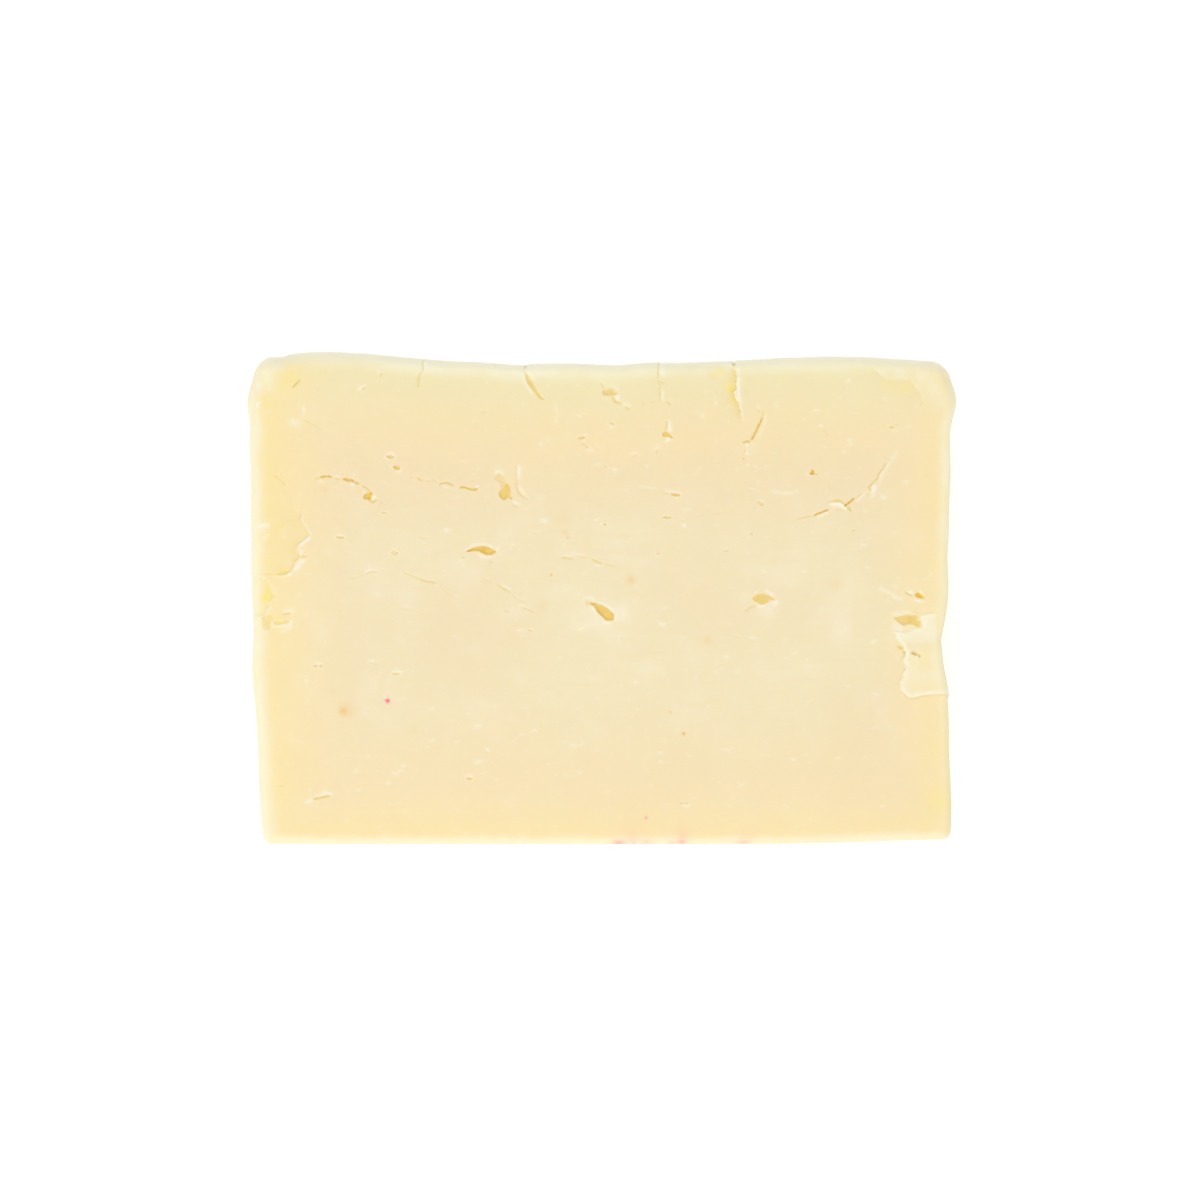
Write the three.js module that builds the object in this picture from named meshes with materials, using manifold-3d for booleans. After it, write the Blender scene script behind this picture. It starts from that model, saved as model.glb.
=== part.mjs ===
// A block of provolone cheese, cut from a loaf, lying on its back with the cut face up.
// Millimetres, +Z up. X runs along the block, Y across it, and the origin is under its middle.

import * as THREE from 'three';
import { mergeVertices } from 'three/addons/utils/BufferGeometryUtils.js';
import Module from 'manifold-3d';

// Driving dimensions of the block
const LENGTH = 101.5;
const WIDTH = 70.4;
const THICKNESS = 30;
const BASE_EDGE = 0.9;

// The four sides: how far each stands from the middle, how round its upper edge is,
// and its bulges as [place along the side, how far it stands out, half width].
const BACK = {
  reach: 33.5,
  edge: 2.0,
  bulges: [[-40, 1.65, 15], [33, 1.0, 15], [-12.3, -0.25, 2.6], [1.6, -0.25, 3.2], [6.8, 0.12, 2]],
};
const FRONT = {
  reach: 35.1,
  edge: 0.7,
  bulges: [[50, -0.6, 16]],
};
const LEFT = {
  reach: 49.75,
  edge: 1.2,
  bulges: [
    [28.2, 0.85, 3.2], [22, 0.25, 2.2], [17, 0.55, 12], [3, 0.3, 8],
    [-10.5, 0.35, 3.5], [-24, -0.5, 8], [-36, -1.15, 7],
  ],
};
const RIGHT = {
  reach: 49.55,
  edge: 1.0,
  bulges: [[28.6, 1.15, 3.4], [18.5, 0.25, 4.5], [-6.3, -1.1, 5], [-30.5, 0.4, 6]],
};

// Plan radius of the four upright corners, and how far along the sides each one is felt
const CORNER = { backLeft: 4.0, backRight: 3.5, frontLeft: 2.1, frontRight: 1.4, spread: 7 };

// Width of the middle band where the left side's edge passes into the right's, and front into back
const MIDDLE_BAND = 24;

// How fast a bulge dies away from the side towards the middle of the face
const BULGE_POWER = 6;

// Slight hollows down the sides: depth, how far below the face they start, and their two wave lengths
const HOLLOW = { depth: 0.45, start: 6, along: 50, up: 44 };

// Facets of the block along, across and up, and how many rows crowd into how wide a strip at the edges
const FACETS = { along: 30, across: 24, up: 8 };
const CROWDED_PLAN = { rows: 3, strip: 4.2 };
const CROWDED_UP = { rows: 3, strip: 3.2 };
const EYE_FACETS = { round: 10, down: 6 };

// Eyes in the cut face: x, y, length, width, turn in degrees, depth, and how pinched one end is
const EYES = [
  [-17.2, 6.95, 4.2, 1.2, 2, 1.5, 0.3],
  [0.1, -1.75, 4.4, 2.0, -38, 2.1, 0.55],
  [23.2, 0.05, 3.6, 1.5, 0, 1.5, 0.2],
  [-13.9, 16.3, 3.2, 1.7, -72, 0.5, 0],
  [-13.5, 15.2, 2.4, 1.6, -80, 1.2, 0],
  [-33.3, 14.8, 1.6, 1.3, 30, 1.1, 0],
  [43.4, -2.9, 4.0, 1.4, -8, 1.5, 0.2],
  [45.1, 0.6, 1.5, 0.8, -38, 0.9, 0],
  [30.1, 18.0, 0.9, 0.8, 0, 1.0, 0],
  [9.6, 23.4, 1.8, 0.8, -20, 0.8, 0.3],
  [1.1, 29.4, 2.4, 0.9, -6, 0.8, 0],
  [10.6, 15.0, 1.1, 0.6, 10, 0.6, 0],
  [-30.2, 20.3, 1.3, 0.5, 0, 0.6, 0],
  [-29.2, 18.8, 1.2, 0.7, -8, 0.7, 0],
  [-2.8, 23.2, 1.1, 0.5, -5, 0.6, 0],
  [42.0, 24.6, 1.2, 0.5, -15, 0.6, 0],
  [7.8, 21.2, 0.8, 0.5, 0, 0.5, 0],
  [-31.0, 12.4, 0.7, 0.5, 0, 0.5, 0],
  [-29.5, 6.6, 1.2, 0.4, 0, 0.5, 0],
  [-40.2, -28.3, 2.6, 0.5, 12, 0.5, 0],
  [-43.6, 30.7, 2.0, 0.6, 48, 0.5, 0],
  [11.9, -29.1, 1.6, 0.4, 0, 0.4, 0],
];

// Cracks in the cut face: width in the middle, depth, and the points they run through
const CRACKS = [
  [0.5, 1.2, [[-41.1, 17.5], [-38.5, 17.6], [-36.0, 17.2], [-34.1, 16.2], [-33.3, 15.4]]],
  [0.35, 0.8, [[-27.3, 17.8], [-25.3, 17.2], [-23.1, 16.4], [-20.8, 16.3]]],
  [0.6, 1.2, [[-20.6, 15.7], [-19.4, 16.0], [-17.8, 15.8]]],
  [0.4, 0.8, [[-12.3, 18.8], [-12.0, 16.8], [-11.5, 15.4], [-10.3, 14.2]]],
  [0.6, 1.4, [[-11.0, 36.0], [-11.2, 33.2], [-9.8, 30.9], [-8.9, 29.3], [-8.2, 28.6]]],
  [0.35, 0.7, [[-25.5, 36.0], [-25.5, 32.9], [-26.2, 31.8], [-26.2, 30.2]]],
  [0.4, 0.8, [[8.1, 36.0], [8.1, 31.0], [8.3, 28.3]]],
  [0.9, 1.6, [[18.8, 36.0], [19.1, 32.2], [18.7, 29.6], [19.1, 28.2], [20.1, 25.5]]],
  [0.6, 1.2, [[22.2, 27.1], [23.0, 26.6], [22.2, 24.5], [21.3, 22.5], [20.0, 22.6]]],
  [0.45, 1.0, [[42.4, 21.7], [40.3, 18.9], [38.3, 15.2], [36.2, 14.0], [34.7, 13.3]]],
  [0.7, 1.2, [[36.0, 12.6], [34.6, 13.5], [32.6, 13.8]]],
  [0.5, 1.0, [[32.0, 12.6], [30.0, 11.9], [26.9, 11.2]]],
  [0.35, 0.7, [[-28.7, 4.0], [-26.3, 3.0], [-23.6, 2.4]]],
  [0.35, 0.7, [[-17.1, 3.0], [-14.0, 1.6], [-10.7, -0.2], [-9.3, -1.8]]],
  [0.35, 0.7, [[-5.5, 6.2], [-1.5, 5.9], [1.9, 4.8]]],
  [0.4, 0.7, [[2.0, 28.9], [2.8, 27.8], [4.0, 27.4]]],
  [0.4, 0.6, [[38.6, 33.2], [40.7, 31.5], [42.8, 31.5], [44.8, 30.6], [45.8, 28.4]]],
];

// How uneven a crack's width is along its length, and the steps between two of its points
const CRACK_UNEVEN = 0.25;
const CRACK_STEPS = 2;

// Torn places at the left edge, where a thin layer has come away, each running out past the edge
const PAST_EDGE = 54;
const CHIPS = [
  [0.45, [
    [-PAST_EDGE, 10.9], [-45.5, 10.7], [-44.4, 12.6], [-42.7, 12.6], [-42.9, 11.3], [-41.7, 9.2],
    [-43.4, 7.6], [-43.3, 5.4], [-44.5, 4.1], [-46.0, 3.8], [-PAST_EDGE, 3.7],
  ]],
  [0.4, [[-PAST_EDGE, 3.3], [-48.9, 3.1], [-46.9, 0.6], [-48.2, -1.4], [-PAST_EDGE, -1.6]]],
  [0.4, [
    [-PAST_EDGE, -2.3], [-46.8, -2.3], [-45.1, -3.2], [-44.8, -1.8], [-43.9, -1.8],
    [-45.9, -4.3], [-PAST_EDGE, -4.6],
  ]],
];

// The thin pale flake left standing at the right edge
const FLAKE = {
  height: 0.3,
  root: 3,
  outline: [
    [PAST_EDGE, -13.7], [46.6, -13.8], [43.6, -14.1], [42.4, -12.3], [43.3, -9.6], [43.0, -8.4],
    [43.7, -7.4], [42.0, -6.1], [41.8, -4.4], [44.2, -4.6], [45.5, -2.3], [47.7, -2.2],
    [47.9, -5.2], [PAST_EDGE, -5.4],
  ],
};

// Eyes in the sides and the underside, which are finished like the face, and how much of the
// middle of the underside stays whole. They are spread by fixed shares, so that none line up.
const HIDDEN_EYE = { length: 2.2, width: 0.9, depth: 0.9, pinch: 0.3, smallest: 0.6, range: 0.7 };
const HIDDEN_EYES = { perSide: 4, under: 11, whole: 16, margin: 5, endMargin: 10 };
const SPREAD_SHARES = [0.618034, 0.754878];

const wasm = await Module();
wasm.setup();

const mix = (from, to, share) => from + (to - from) * share;

const soft = (value) => {
  const share = Math.min(1, Math.max(0, value));
  return share * share * (3 - 2 * share);
};

// The share between 0 and 1 that the numbered member of a spread falls at
const spread = (number, share) => (number * share) % 1;

// A closed geometry as a solid for joining and cutting
function solid(geometry) {
  const bare = geometry.index ? geometry.toNonIndexed() : geometry.clone();
  bare.deleteAttribute('normal');
  bare.deleteAttribute('uv');
  const merged = mergeVertices(bare, 1e-4);
  const mesh = new wasm.Mesh({
    numProp: 3,
    vertProperties: new Float32Array(merged.attributes.position.array),
    triVerts: new Uint32Array(merged.index.array),
  });
  return new wasm.Manifold(mesh);
}

// A solid as a geometry again
function shell(manifold) {
  const mesh = manifold.getMesh();
  const geometry = new THREE.BufferGeometry();
  geometry.setAttribute('position', new THREE.BufferAttribute(new Float32Array(mesh.vertProperties), 3));
  geometry.setIndex(new THREE.BufferAttribute(new Uint32Array(mesh.triVerts), 1));
  geometry.computeVertexNormals();
  return geometry;
}

// How far a side stands from the middle at a place along it
function reachAt(side, place) {
  let reach = side.reach;
  for (const [centre, size, halfWidth] of side.bulges) {
    reach += size * Math.exp(-(((place - centre) / halfWidth) ** 2));
  }
  return reach;
}

// Radius of the rounding at a place in plan: the near side's edge, growing into the near corner's
function radiusAt(x, y) {
  const toBack = soft(0.5 + y / MIDDLE_BAND);
  const toRight = soft(0.5 + x / MIDDLE_BAND);
  const endEdge = mix(LEFT.edge, RIGHT.edge, toRight);
  const sideEdge = mix(FRONT.edge, BACK.edge, toBack);
  const endGap = (LENGTH / 2 - Math.abs(x)) / CORNER.spread;
  const sideGap = (WIDTH / 2 - Math.abs(y)) / CORNER.spread;
  const edge = mix(endEdge, sideEdge, soft((1 + endGap - sideGap) / 2));
  const backCorner = mix(CORNER.backLeft, CORNER.backRight, toRight);
  const frontCorner = mix(CORNER.frontLeft, CORNER.frontRight, toRight);
  const corner = mix(frontCorner, backCorner, toBack);
  return mix(edge, corner, Math.exp(-(endGap ** 2) - sideGap ** 2));
}

// A coordinate of the plain box (-1 to 1) at its real place, with the outer rows crowded to the edge
function crowd(share, count, half, crowded) {
  const index = Math.round(((share + 1) / 2) * count);
  const row = Math.min(index, count - index);
  const edgePlace = half - (crowded.strip * row) / crowded.rows;
  const innerPlace = ((half - crowded.strip) * (count - 2 * row)) / (count - 2 * crowded.rows);
  const place = row < crowded.rows ? edgePlace : innerPlace;
  return index < count / 2 ? -place : place;
}

// Where a point of the rounded box lies once the sides stand out or in as cut
function followSides(point, half) {
  const alongWave = Math.sin((2 * Math.PI * (point.x + point.y)) / HOLLOW.along);
  const upWave = Math.sin((2 * Math.PI * point.z) / HOLLOW.up);
  const down = soft((half.z - point.z - HOLLOW.start) / half.z);
  const hollow = (HOLLOW.depth * down * (1 + alongWave * upWave)) / 2;
  const standX = reachAt(point.x < 0 ? LEFT : RIGHT, point.y) - half.x - hollow;
  const standY = reachAt(point.y < 0 ? FRONT : BACK, point.x) - half.y - hollow;
  return [
    point.x + Math.sign(point.x) * standX * Math.abs(point.x / half.x) ** BULGE_POWER,
    point.y + Math.sign(point.y) * standY * Math.abs(point.y / half.y) ** BULGE_POWER,
  ];
}

// The uncut block: a box whose edges and corners are rounded and whose sides follow their bulges
function blank() {
  const geometry = new THREE.BoxGeometry(2, 2, 2, FACETS.along, FACETS.across, FACETS.up);
  const position = geometry.attributes.position;
  const half = new THREE.Vector3(LENGTH / 2, WIDTH / 2, THICKNESS / 2);
  for (let i = 0; i < position.count; i += 1) {
    const x = crowd(position.getX(i), FACETS.along, half.x, CROWDED_PLAN);
    const y = crowd(position.getY(i), FACETS.across, half.y, CROWDED_PLAN);
    const z = crowd(position.getZ(i), FACETS.up, half.z, CROWDED_UP);
    const plan = radiusAt(x, y);
    const rise = z > 0 ? plan : BASE_EDGE;
    const core = new THREE.Vector3(
      THREE.MathUtils.clamp(x, plan - half.x, half.x - plan),
      THREE.MathUtils.clamp(y, plan - half.y, half.y - plan),
      THREE.MathUtils.clamp(z, rise - half.z, half.z - rise),
    );
    const out = new THREE.Vector3((x - core.x) / plan, (y - core.y) / plan, (z - core.z) / rise);
    out.normalize().multiply(new THREE.Vector3(plan, plan, rise)).add(core);
    const [sideX, sideY] = followSides(out, half);
    position.setXYZ(i, sideX, sideY, out.z + half.z);
  }
  geometry.computeBoundingBox();
  const size = geometry.boundingBox.getSize(new THREE.Vector3());
  const centre = geometry.boundingBox.getCenter(new THREE.Vector3());
  geometry.translate(-centre.x, -centre.y, 0);
  geometry.scale(LENGTH / size.x, WIDTH / size.y, 1);
  return solid(geometry);
}

// An eye: a round hollow drawn out in length and pinched towards one end
function eye(length, width, depth, pinch) {
  const geometry = new THREE.SphereGeometry(1, EYE_FACETS.round, EYE_FACETS.down);
  const position = geometry.attributes.position;
  for (let i = 0; i < position.count; i += 1) {
    const along = position.getX(i);
    const narrow = 1 - (pinch * (1 - along)) / 2;
    position.setXYZ(
      i,
      (along * length) / 2,
      (position.getY(i) * width * narrow) / 2,
      position.getZ(i) * depth * narrow,
    );
  }
  return geometry;
}

// A flat outline as an upright prism from one height to another
function prism(points, bottom, top) {
  const shape = new THREE.Shape(points.map(([x, y]) => new THREE.Vector2(x, y)));
  const geometry = new THREE.ExtrudeGeometry(shape, { depth: top - bottom, bevelEnabled: false });
  geometry.translate(0, 0, bottom);
  return solid(geometry);
}

// The outline of a crack: a thin blade along a smooth line, closing to a point at both ends
function blade(points, width) {
  const line = new THREE.CatmullRomCurve3(points.map(([x, y]) => new THREE.Vector3(x, y, 0)));
  const steps = points.length * CRACK_STEPS;
  const left = [];
  const right = [];
  for (let i = 1; i < steps; i += 1) {
    const share = i / steps;
    const at = line.getPoint(share);
    const along = line.getTangent(share);
    const uneven = 1 - CRACK_UNEVEN * (1 + Math.sin(i * 2.4 + points[0][0]));
    const half = (width / 2) * Math.sqrt(Math.sin(Math.PI * share)) * uneven;
    left.push([at.x - along.y * half, at.y + along.x * half]);
    right.push([at.x + along.y * half, at.y - along.x * half]);
  }
  return [points[0], ...right, points[points.length - 1], ...left.reverse()];
}

// Eyes over the cut face
function faceEyes() {
  return EYES.map(([x, y, length, width, turn, depth, pinch]) => {
    const geometry = eye(length, width, depth, pinch);
    geometry.rotateZ(THREE.MathUtils.degToRad(turn));
    geometry.translate(x, y, THICKNESS + 0.02);
    return solid(geometry);
  });
}

// One of the eyes that the face doesn't show, its size and turn set by its number
function hiddenEye(number) {
  const { length, width, depth, pinch, smallest, range } = HIDDEN_EYE;
  const size = smallest + range * spread(number, SPREAD_SHARES[0] * 3);
  const geometry = eye(length * size, width * size, depth * size, pinch);
  geometry.rotateZ(number * 1.9);
  return geometry;
}

// Eyes in the four sides
function sideEyes() {
  const walls = [
    { side: FRONT, turn: 0, span: LENGTH, runs: 1 },
    { side: RIGHT, turn: 90, span: WIDTH, runs: 1 },
    { side: BACK, turn: 180, span: LENGTH, runs: -1 },
    { side: LEFT, turn: 270, span: WIDTH, runs: -1 },
  ];
  const { perSide, margin, endMargin } = HIDDEN_EYES;
  const cutters = [];
  walls.forEach((wall, wallNumber) => {
    for (let i = 1; i <= perSide; i += 1) {
      const number = wallNumber * perSide + i;
      const along = mix(endMargin, wall.span - endMargin, spread(number, SPREAD_SHARES[0])) - wall.span / 2;
      const up = mix(margin, THICKNESS - margin, spread(number, SPREAD_SHARES[1]));
      const out = reachAt(wall.side, wall.runs * along) - HOLLOW.depth / 2;
      const geometry = hiddenEye(number);
      geometry.rotateX(Math.PI / 2);
      geometry.translate(along, -out, up);
      geometry.rotateZ(THREE.MathUtils.degToRad(wall.turn));
      cutters.push(solid(geometry));
    }
  });
  return cutters;
}

// Eyes in the underside, which stays whole in the middle
function underEyes() {
  const { under, whole, endMargin } = HIDDEN_EYES;
  const cutters = [];
  for (let i = 1; i <= under; i += 1) {
    const x = (spread(i, SPREAD_SHARES[0]) - 0.5) * (LENGTH - 2 * endMargin);
    const y = (spread(i, SPREAD_SHARES[1]) - 0.5) * (WIDTH - 2 * endMargin);
    if (Math.hypot(x, y) > whole) {
      const geometry = hiddenEye(i);
      geometry.translate(x, y, -0.02);
      cutters.push(solid(geometry));
    }
  }
  return cutters;
}

// The whole block: the blank with its flake raised on it, then chips, cracks and eyes cut out
function provolone() {
  const body = blank();
  const column = body.scale([1, 1, 1.2]);
  const flake = prism(FLAKE.outline, THICKNESS - FLAKE.root, THICKNESS + FLAKE.height).intersect(column);
  const clear = THICKNESS + 1;
  const cutters = [
    ...CHIPS.map(([depth, outline]) => prism(outline, THICKNESS - depth, clear)),
    ...CRACKS.map(([width, depth, points]) => prism(blade(points, width), THICKNESS - depth, clear)),
    ...faceEyes(),
    ...sideEyes(),
    ...underEyes(),
  ];
  return wasm.Manifold.difference([body.add(flake), ...cutters]);
}

const cheese = new THREE.MeshStandardMaterial({ color: 0xf4e6c0, roughness: 0.5, metalness: 0 });
const block = new THREE.Mesh(shell(provolone()), cheese);
block.name = 'provolone_block';

const part = new THREE.Group();
part.add(block);

export default part;
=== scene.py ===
# A block of provolone cheese on a plain white table, seen straight down on its cut face.
# Lengths of the block are in millimetres while it is shaped, and in metres once it is finished.

import math
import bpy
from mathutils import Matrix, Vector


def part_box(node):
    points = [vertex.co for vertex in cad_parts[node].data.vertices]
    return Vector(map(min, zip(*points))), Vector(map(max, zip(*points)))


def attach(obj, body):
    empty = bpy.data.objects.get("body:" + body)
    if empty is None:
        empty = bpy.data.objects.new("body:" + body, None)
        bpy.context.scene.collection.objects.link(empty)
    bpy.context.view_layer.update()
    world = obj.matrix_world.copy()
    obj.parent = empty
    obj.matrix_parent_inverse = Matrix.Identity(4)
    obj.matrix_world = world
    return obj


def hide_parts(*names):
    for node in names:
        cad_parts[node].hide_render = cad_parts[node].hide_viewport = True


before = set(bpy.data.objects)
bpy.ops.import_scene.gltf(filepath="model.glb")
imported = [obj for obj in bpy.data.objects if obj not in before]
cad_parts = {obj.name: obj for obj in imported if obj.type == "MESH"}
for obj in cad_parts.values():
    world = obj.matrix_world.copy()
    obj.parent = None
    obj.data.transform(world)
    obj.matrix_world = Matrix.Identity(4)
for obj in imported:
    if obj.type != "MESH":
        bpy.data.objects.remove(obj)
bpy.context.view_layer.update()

from types import SimpleNamespace as Form

import bmesh
import bpy
import numpy as np
from mathutils import Vector
from mathutils.kdtree import KDTree

MM = 0.001

# The block's size, from the frame, with the height that the flake stands above the cut face
LOW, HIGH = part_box("provolone_block")
FLAKE_HEIGHT = 0.3
LENGTH = (HIGH.x - LOW.x) / MM
WIDTH = (HIGH.y - LOW.y) / MM
THICKNESS = (HIGH.z - LOW.z) / MM - FLAKE_HEIGHT
HALF = np.array([LENGTH / 2, WIDTH / 2, THICKNESS / 2])
BASE_EDGE = 0.9

# The four sides: how far each stands from the middle, how round its upper edge is,
# and its bulges as [place along the side, how far it stands out, half width]
BACK = {
    "reach": 33.5,
    "edge": 2.0,
    "bulges": [
        [-40, 1.65, 15], [-46.8, -0.35, 1.6], [33, 1.0, 15], [-12.3, -0.25, 2.6], [1.6, -0.25, 3.2],
        [6.8, 0.12, 2],
    ],
}
FRONT = {"reach": 35.1, "edge": 0.7, "bulges": [[50, -0.6, 16]]}
LEFT = {
    "reach": 49.75,
    "edge": 1.2,
    "bulges": [
        [28.2, 0.85, 3.2], [22, 0.25, 2.2], [17, 0.55, 12], [3, 0.3, 8], [-10.5, 0.35, 3.5],
        [-24, -0.5, 8], [-36, -1.15, 7],
    ],
}
RIGHT = {
    "reach": 49.55,
    "edge": 1.0,
    "bulges": [[28.6, 1.15, 3.4], [18.5, 0.25, 4.5], [5.7, -0.2, 2.5], [-7.6, -1.2, 5], [-30.5, 0.4, 6]],
}

# The rounding of the corners in plan, and how the sides blend into one another
CORNER = {"back_left": 3.2, "back_right": 2.9, "front_left": 1.5, "front_right": 1.3, "spread": 7}
MIDDLE_BAND = 24
BULGE_POWER = 6

# The slight dishing of the four sides below their upper edges
SIDE_DISH = {"depth": 0.45, "start": 6, "along": 50, "up": 44}

# Marks on the cut face are placed by the photograph's pixels: how many show a millimetre of the face,
# how many show one at the outline a little below it, and which pixel shows the middle of the block
PIXELS_PER_MM = 7.015
OUTLINE_PIXELS_PER_MM = 7.0
MIDDLE_PIXEL = (601.8, 597.7)

# Hollows in the cut face: depth in mm, how strong the painted shade inside them is, and their outline
HOLLOWS = [
    [0.52, 1.08, [
        [466, 551.5], [470, 549], [474, 547.4], [480, 546.3], [486, 546.6], [490, 548], [493, 549.5],
        [495.6, 551.5], [493, 554], [489, 554.9], [485, 554.2], [481.5, 552.3], [478, 550.9],
        [474, 550.6], [470, 551.4],
    ]],
    [0.52, 0.95, [
        [590, 603.2], [594, 602.8], [599, 604.3], [604, 606.5], [608, 608.8], [611.5, 611.5],
        [614, 614.2], [613.7, 617], [613.5, 620], [610.5, 620.3], [607, 620.4], [604, 618.2],
        [600.5, 615], [597.5, 611.5], [595.5, 608], [593, 605.3],
    ]],
    [0.12, 0.35, [[585, 602], [587.5, 599.5], [591, 601.5], [590, 604], [587.5, 606.5], [586, 605]]],
    [0.24, 0.85, [
        [752.5, 598], [755, 595.5], [758, 593.6], [763, 593], [767, 594.5], [771, 596.5], [775.5, 599.9],
        [771.5, 599.6], [769.3, 600], [768.8, 602], [766, 603], [763, 604.8], [760, 603.8], [757, 602],
        [754, 600.3],
    ]],
    [0.2, 0.4, [
        [494.3, 479], [495.5, 475.3], [498.5, 473.4], [502, 474.4], [504.3, 477.5], [505.5, 481],
        [508, 484], [506, 487], [503, 489], [500.5, 487], [500.5, 483.5], [497.5, 481.5],
    ]],
    [0.32, 0.85, [
        [504.5, 484], [507.5, 483.3], [510.3, 487], [510.7, 491.5], [510.2, 494.2], [512.3, 496.5],
        [511.8, 499.3], [508.5, 497.7], [505.5, 499.7], [502, 499.2], [499.3, 496.5], [499, 492.5],
        [501, 489.5], [503.5, 487],
    ]],
    [0.42, 1.12, [
        [363, 497.4], [364.8, 494.8], [367.5, 493], [371, 491.8], [372.6, 493.8], [371.2, 496],
        [370.8, 498.4], [369.2, 500], [367.4, 499.4], [365.6, 499], [363.6, 499],
    ]],
    [0.28, 0.82, [
        [894, 618.3], [899, 616.3], [905, 615], [912, 615], [918, 615.8], [917.8, 619.3], [920.8, 621],
        [920.8, 624.8], [919.3, 627.3], [916, 626.5], [913, 624.6], [909, 624.3], [905, 625.6],
        [901, 624], [897.5, 620.9],
    ]],
    [0.28, 0.8, [
        [914, 621.5], [918, 620.5], [920.5, 622.5], [920.5, 625.5], [918.5, 627], [915.5, 626],
        [913, 624],
    ]],
    [0.25, 1.3, [
        [914.8, 595.6], [915.8, 593.4], [918.5, 592.2], [921.8, 595], [924.3, 598.7], [920.6, 598.4],
        [917, 597.2],
    ]],
    [0.5, 1.5, [
        [811.3, 472], [811.9, 469.8], [813.7, 470], [814.6, 472.6], [814.2, 474.6], [811.8, 475.2],
        [809.8, 473.6],
    ]],
    [0.4, 0.8, [
        [662.3, 433.8], [664.5, 431.2], [667, 431.6], [670, 433.8], [672.8, 437.6], [671.5, 438],
        [669, 436.9], [666, 436.6], [663.3, 436.3],
    ]],
    [0.33, 0.66, [
        [602.3, 392], [604.3, 389.3], [607, 389.5], [610, 387.9], [613.7, 388.3], [615, 391],
        [617.7, 392.4], [617.2, 394.2], [614, 394.9], [611, 395], [608.5, 395.7], [605, 395.2],
        [603, 394.4],
    ]],
    [0.3, 0.68, [
        [524.8, 372.5], [527, 373.5], [530, 377.5], [533.5, 383.5], [537, 390], [540.5, 395.5],
        [544.5, 399.8], [539.5, 398.4], [535.2, 393.6], [530.8, 387.6], [527.2, 382], [525, 377],
    ]],
    [0.25, 0.55, [
        [828, 502.5], [832, 500.3], [837, 499], [841, 499.6], [844, 501.5], [846.5, 504.5], [843, 503.9],
        [839, 502.2], [834, 501.9],
    ]],
    [0.35, 0.6, [[845, 504], [848, 505.5], [850.6, 508], [851, 511.5], [849, 510], [846.5, 507]]],
    [0.2, 0.25, [
        [262, 616], [267, 614.5], [272, 615], [274.5, 618], [278, 620.2], [282, 621.7], [286.8, 619.6],
        [289, 621.8], [284, 623.6], [278, 624.4], [274, 624.6], [271.8, 621], [270.5, 628], [263, 629],
    ]],
]

# Small eyes: pixel across, pixel down, length and width in pixels, turn in degrees,
# depth in mm, and how strong the painted shade inside them is
SMALL_EYES = [
    [390, 457, 8, 3, 0, 0.5, 0.6], [396.5, 467.6, 7.5, 4.3, -8, 0.6, 0.95],
    [581.5, 437.7, 7.5, 3.2, 12, 0.45, 0.85], [583.5, 444.5, 4.5, 2.4, -30, 0.2, 0.4],
    [586.5, 447.3, 2.6, 1.6, 0, 0.25, 0.7], [612, 423.7, 6.5, 1.5, -8, 0.25, 0.45],
    [605.2, 466.3, 5, 1.2, -30, 0.15, 0.35], [656.7, 452, 5, 1.6, 60, 0.15, 0.3],
    [636, 455.2, 6, 1.1, 5, 0.15, 0.3], [675.5, 494.6, 9.5, 3, -7, 0.55, 0.95],
    [667, 517.3, 9.5, 2.2, -6, 0.35, 0.75], [682.5, 520.8, 3.5, 1.4, -10, 0.15, 0.35],
    [761.5, 503.8, 6.5, 4, -20, 0.3, 0.6], [752, 533.8, 2.4, 3.5, 0, 0.2, 0.5],
    [892, 427, 5.5, 2.2, 5, 0.3, 0.7], [896.5, 424.5, 6, 1.5, -10, 0.1, 0.3],
    [605, 524.5, 3.2, 2, -20, 0.3, 1.1], [853.8, 530.7, 3.5, 2, 0, 0.2, 0.5],
    [340, 537.3, 8.5, 2.2, 0, 0.35, 0.75], [394.5, 553.2, 8, 3, -2, 0.3, 0.5],
    [394, 551.4, 2.6, 1.2, 0, 0.3, 0.85], [422.6, 538, 11, 2, -4, 0.1, 0.25],
    [384, 512.7, 6, 2, 15, 0.25, 0.45], [658.5, 553.4, 5.5, 1.5, 0, 0.2, 0.5],
    [726.4, 551, 6.3, 1.8, 0, 0.2, 0.4], [530.4, 630, 5, 1.8, -10, 0.2, 0.4],
    [315.8, 665.8, 4, 2, 0, 0.3, 0.85], [321, 665.8, 3, 2, 0, 0.3, 0.85],
    [373.6, 663.2, 11, 1.4, -4, 0.12, 0.3], [396, 673.8, 8.4, 1.8, -4, 0.25, 0.55],
    [469, 778.5, 6.5, 2.2, 0, 0.35, 0.8], [681.5, 803.2, 4, 1.4, 0, 0.2, 0.5],
    [687, 803, 3, 1.2, 0, 0.2, 0.5], [279.5, 786, 9, 1.6, 0, 0.15, 0.4],
    [363.5, 388.7, 3, 2, 30, 0.25, 0.5], [381, 374.7, 5, 2.6, 65, 0.2, 0.45],
    [483.5, 412.4, 6.3, 3.5, 20, 0.1, 0.25], [846, 504.8, 4.4, 2.6, 35, 0.7, 1.3],
    [284, 572.2, 7, 3, 0, 0.15, 0.9], [280.5, 525, 10, 6, 25, 0.04, 0.3],
    [921, 657.6, 5.6, 3.8, -30, 0.3, 1.15], [517, 480.6, 3, 1.6, 0, 0.15, 0.5],
    [922.2, 402.5, 2.4, 3.4, 0, 0.15, 0.5], [666.5, 386.5, 2, 1.4, 0, 0.1, 0.3],
    [713, 375, 12, 10, 0, 0.03, 0.22], [844.5, 387, 5, 1.4, 60, 0.1, 0.3],
]
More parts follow.
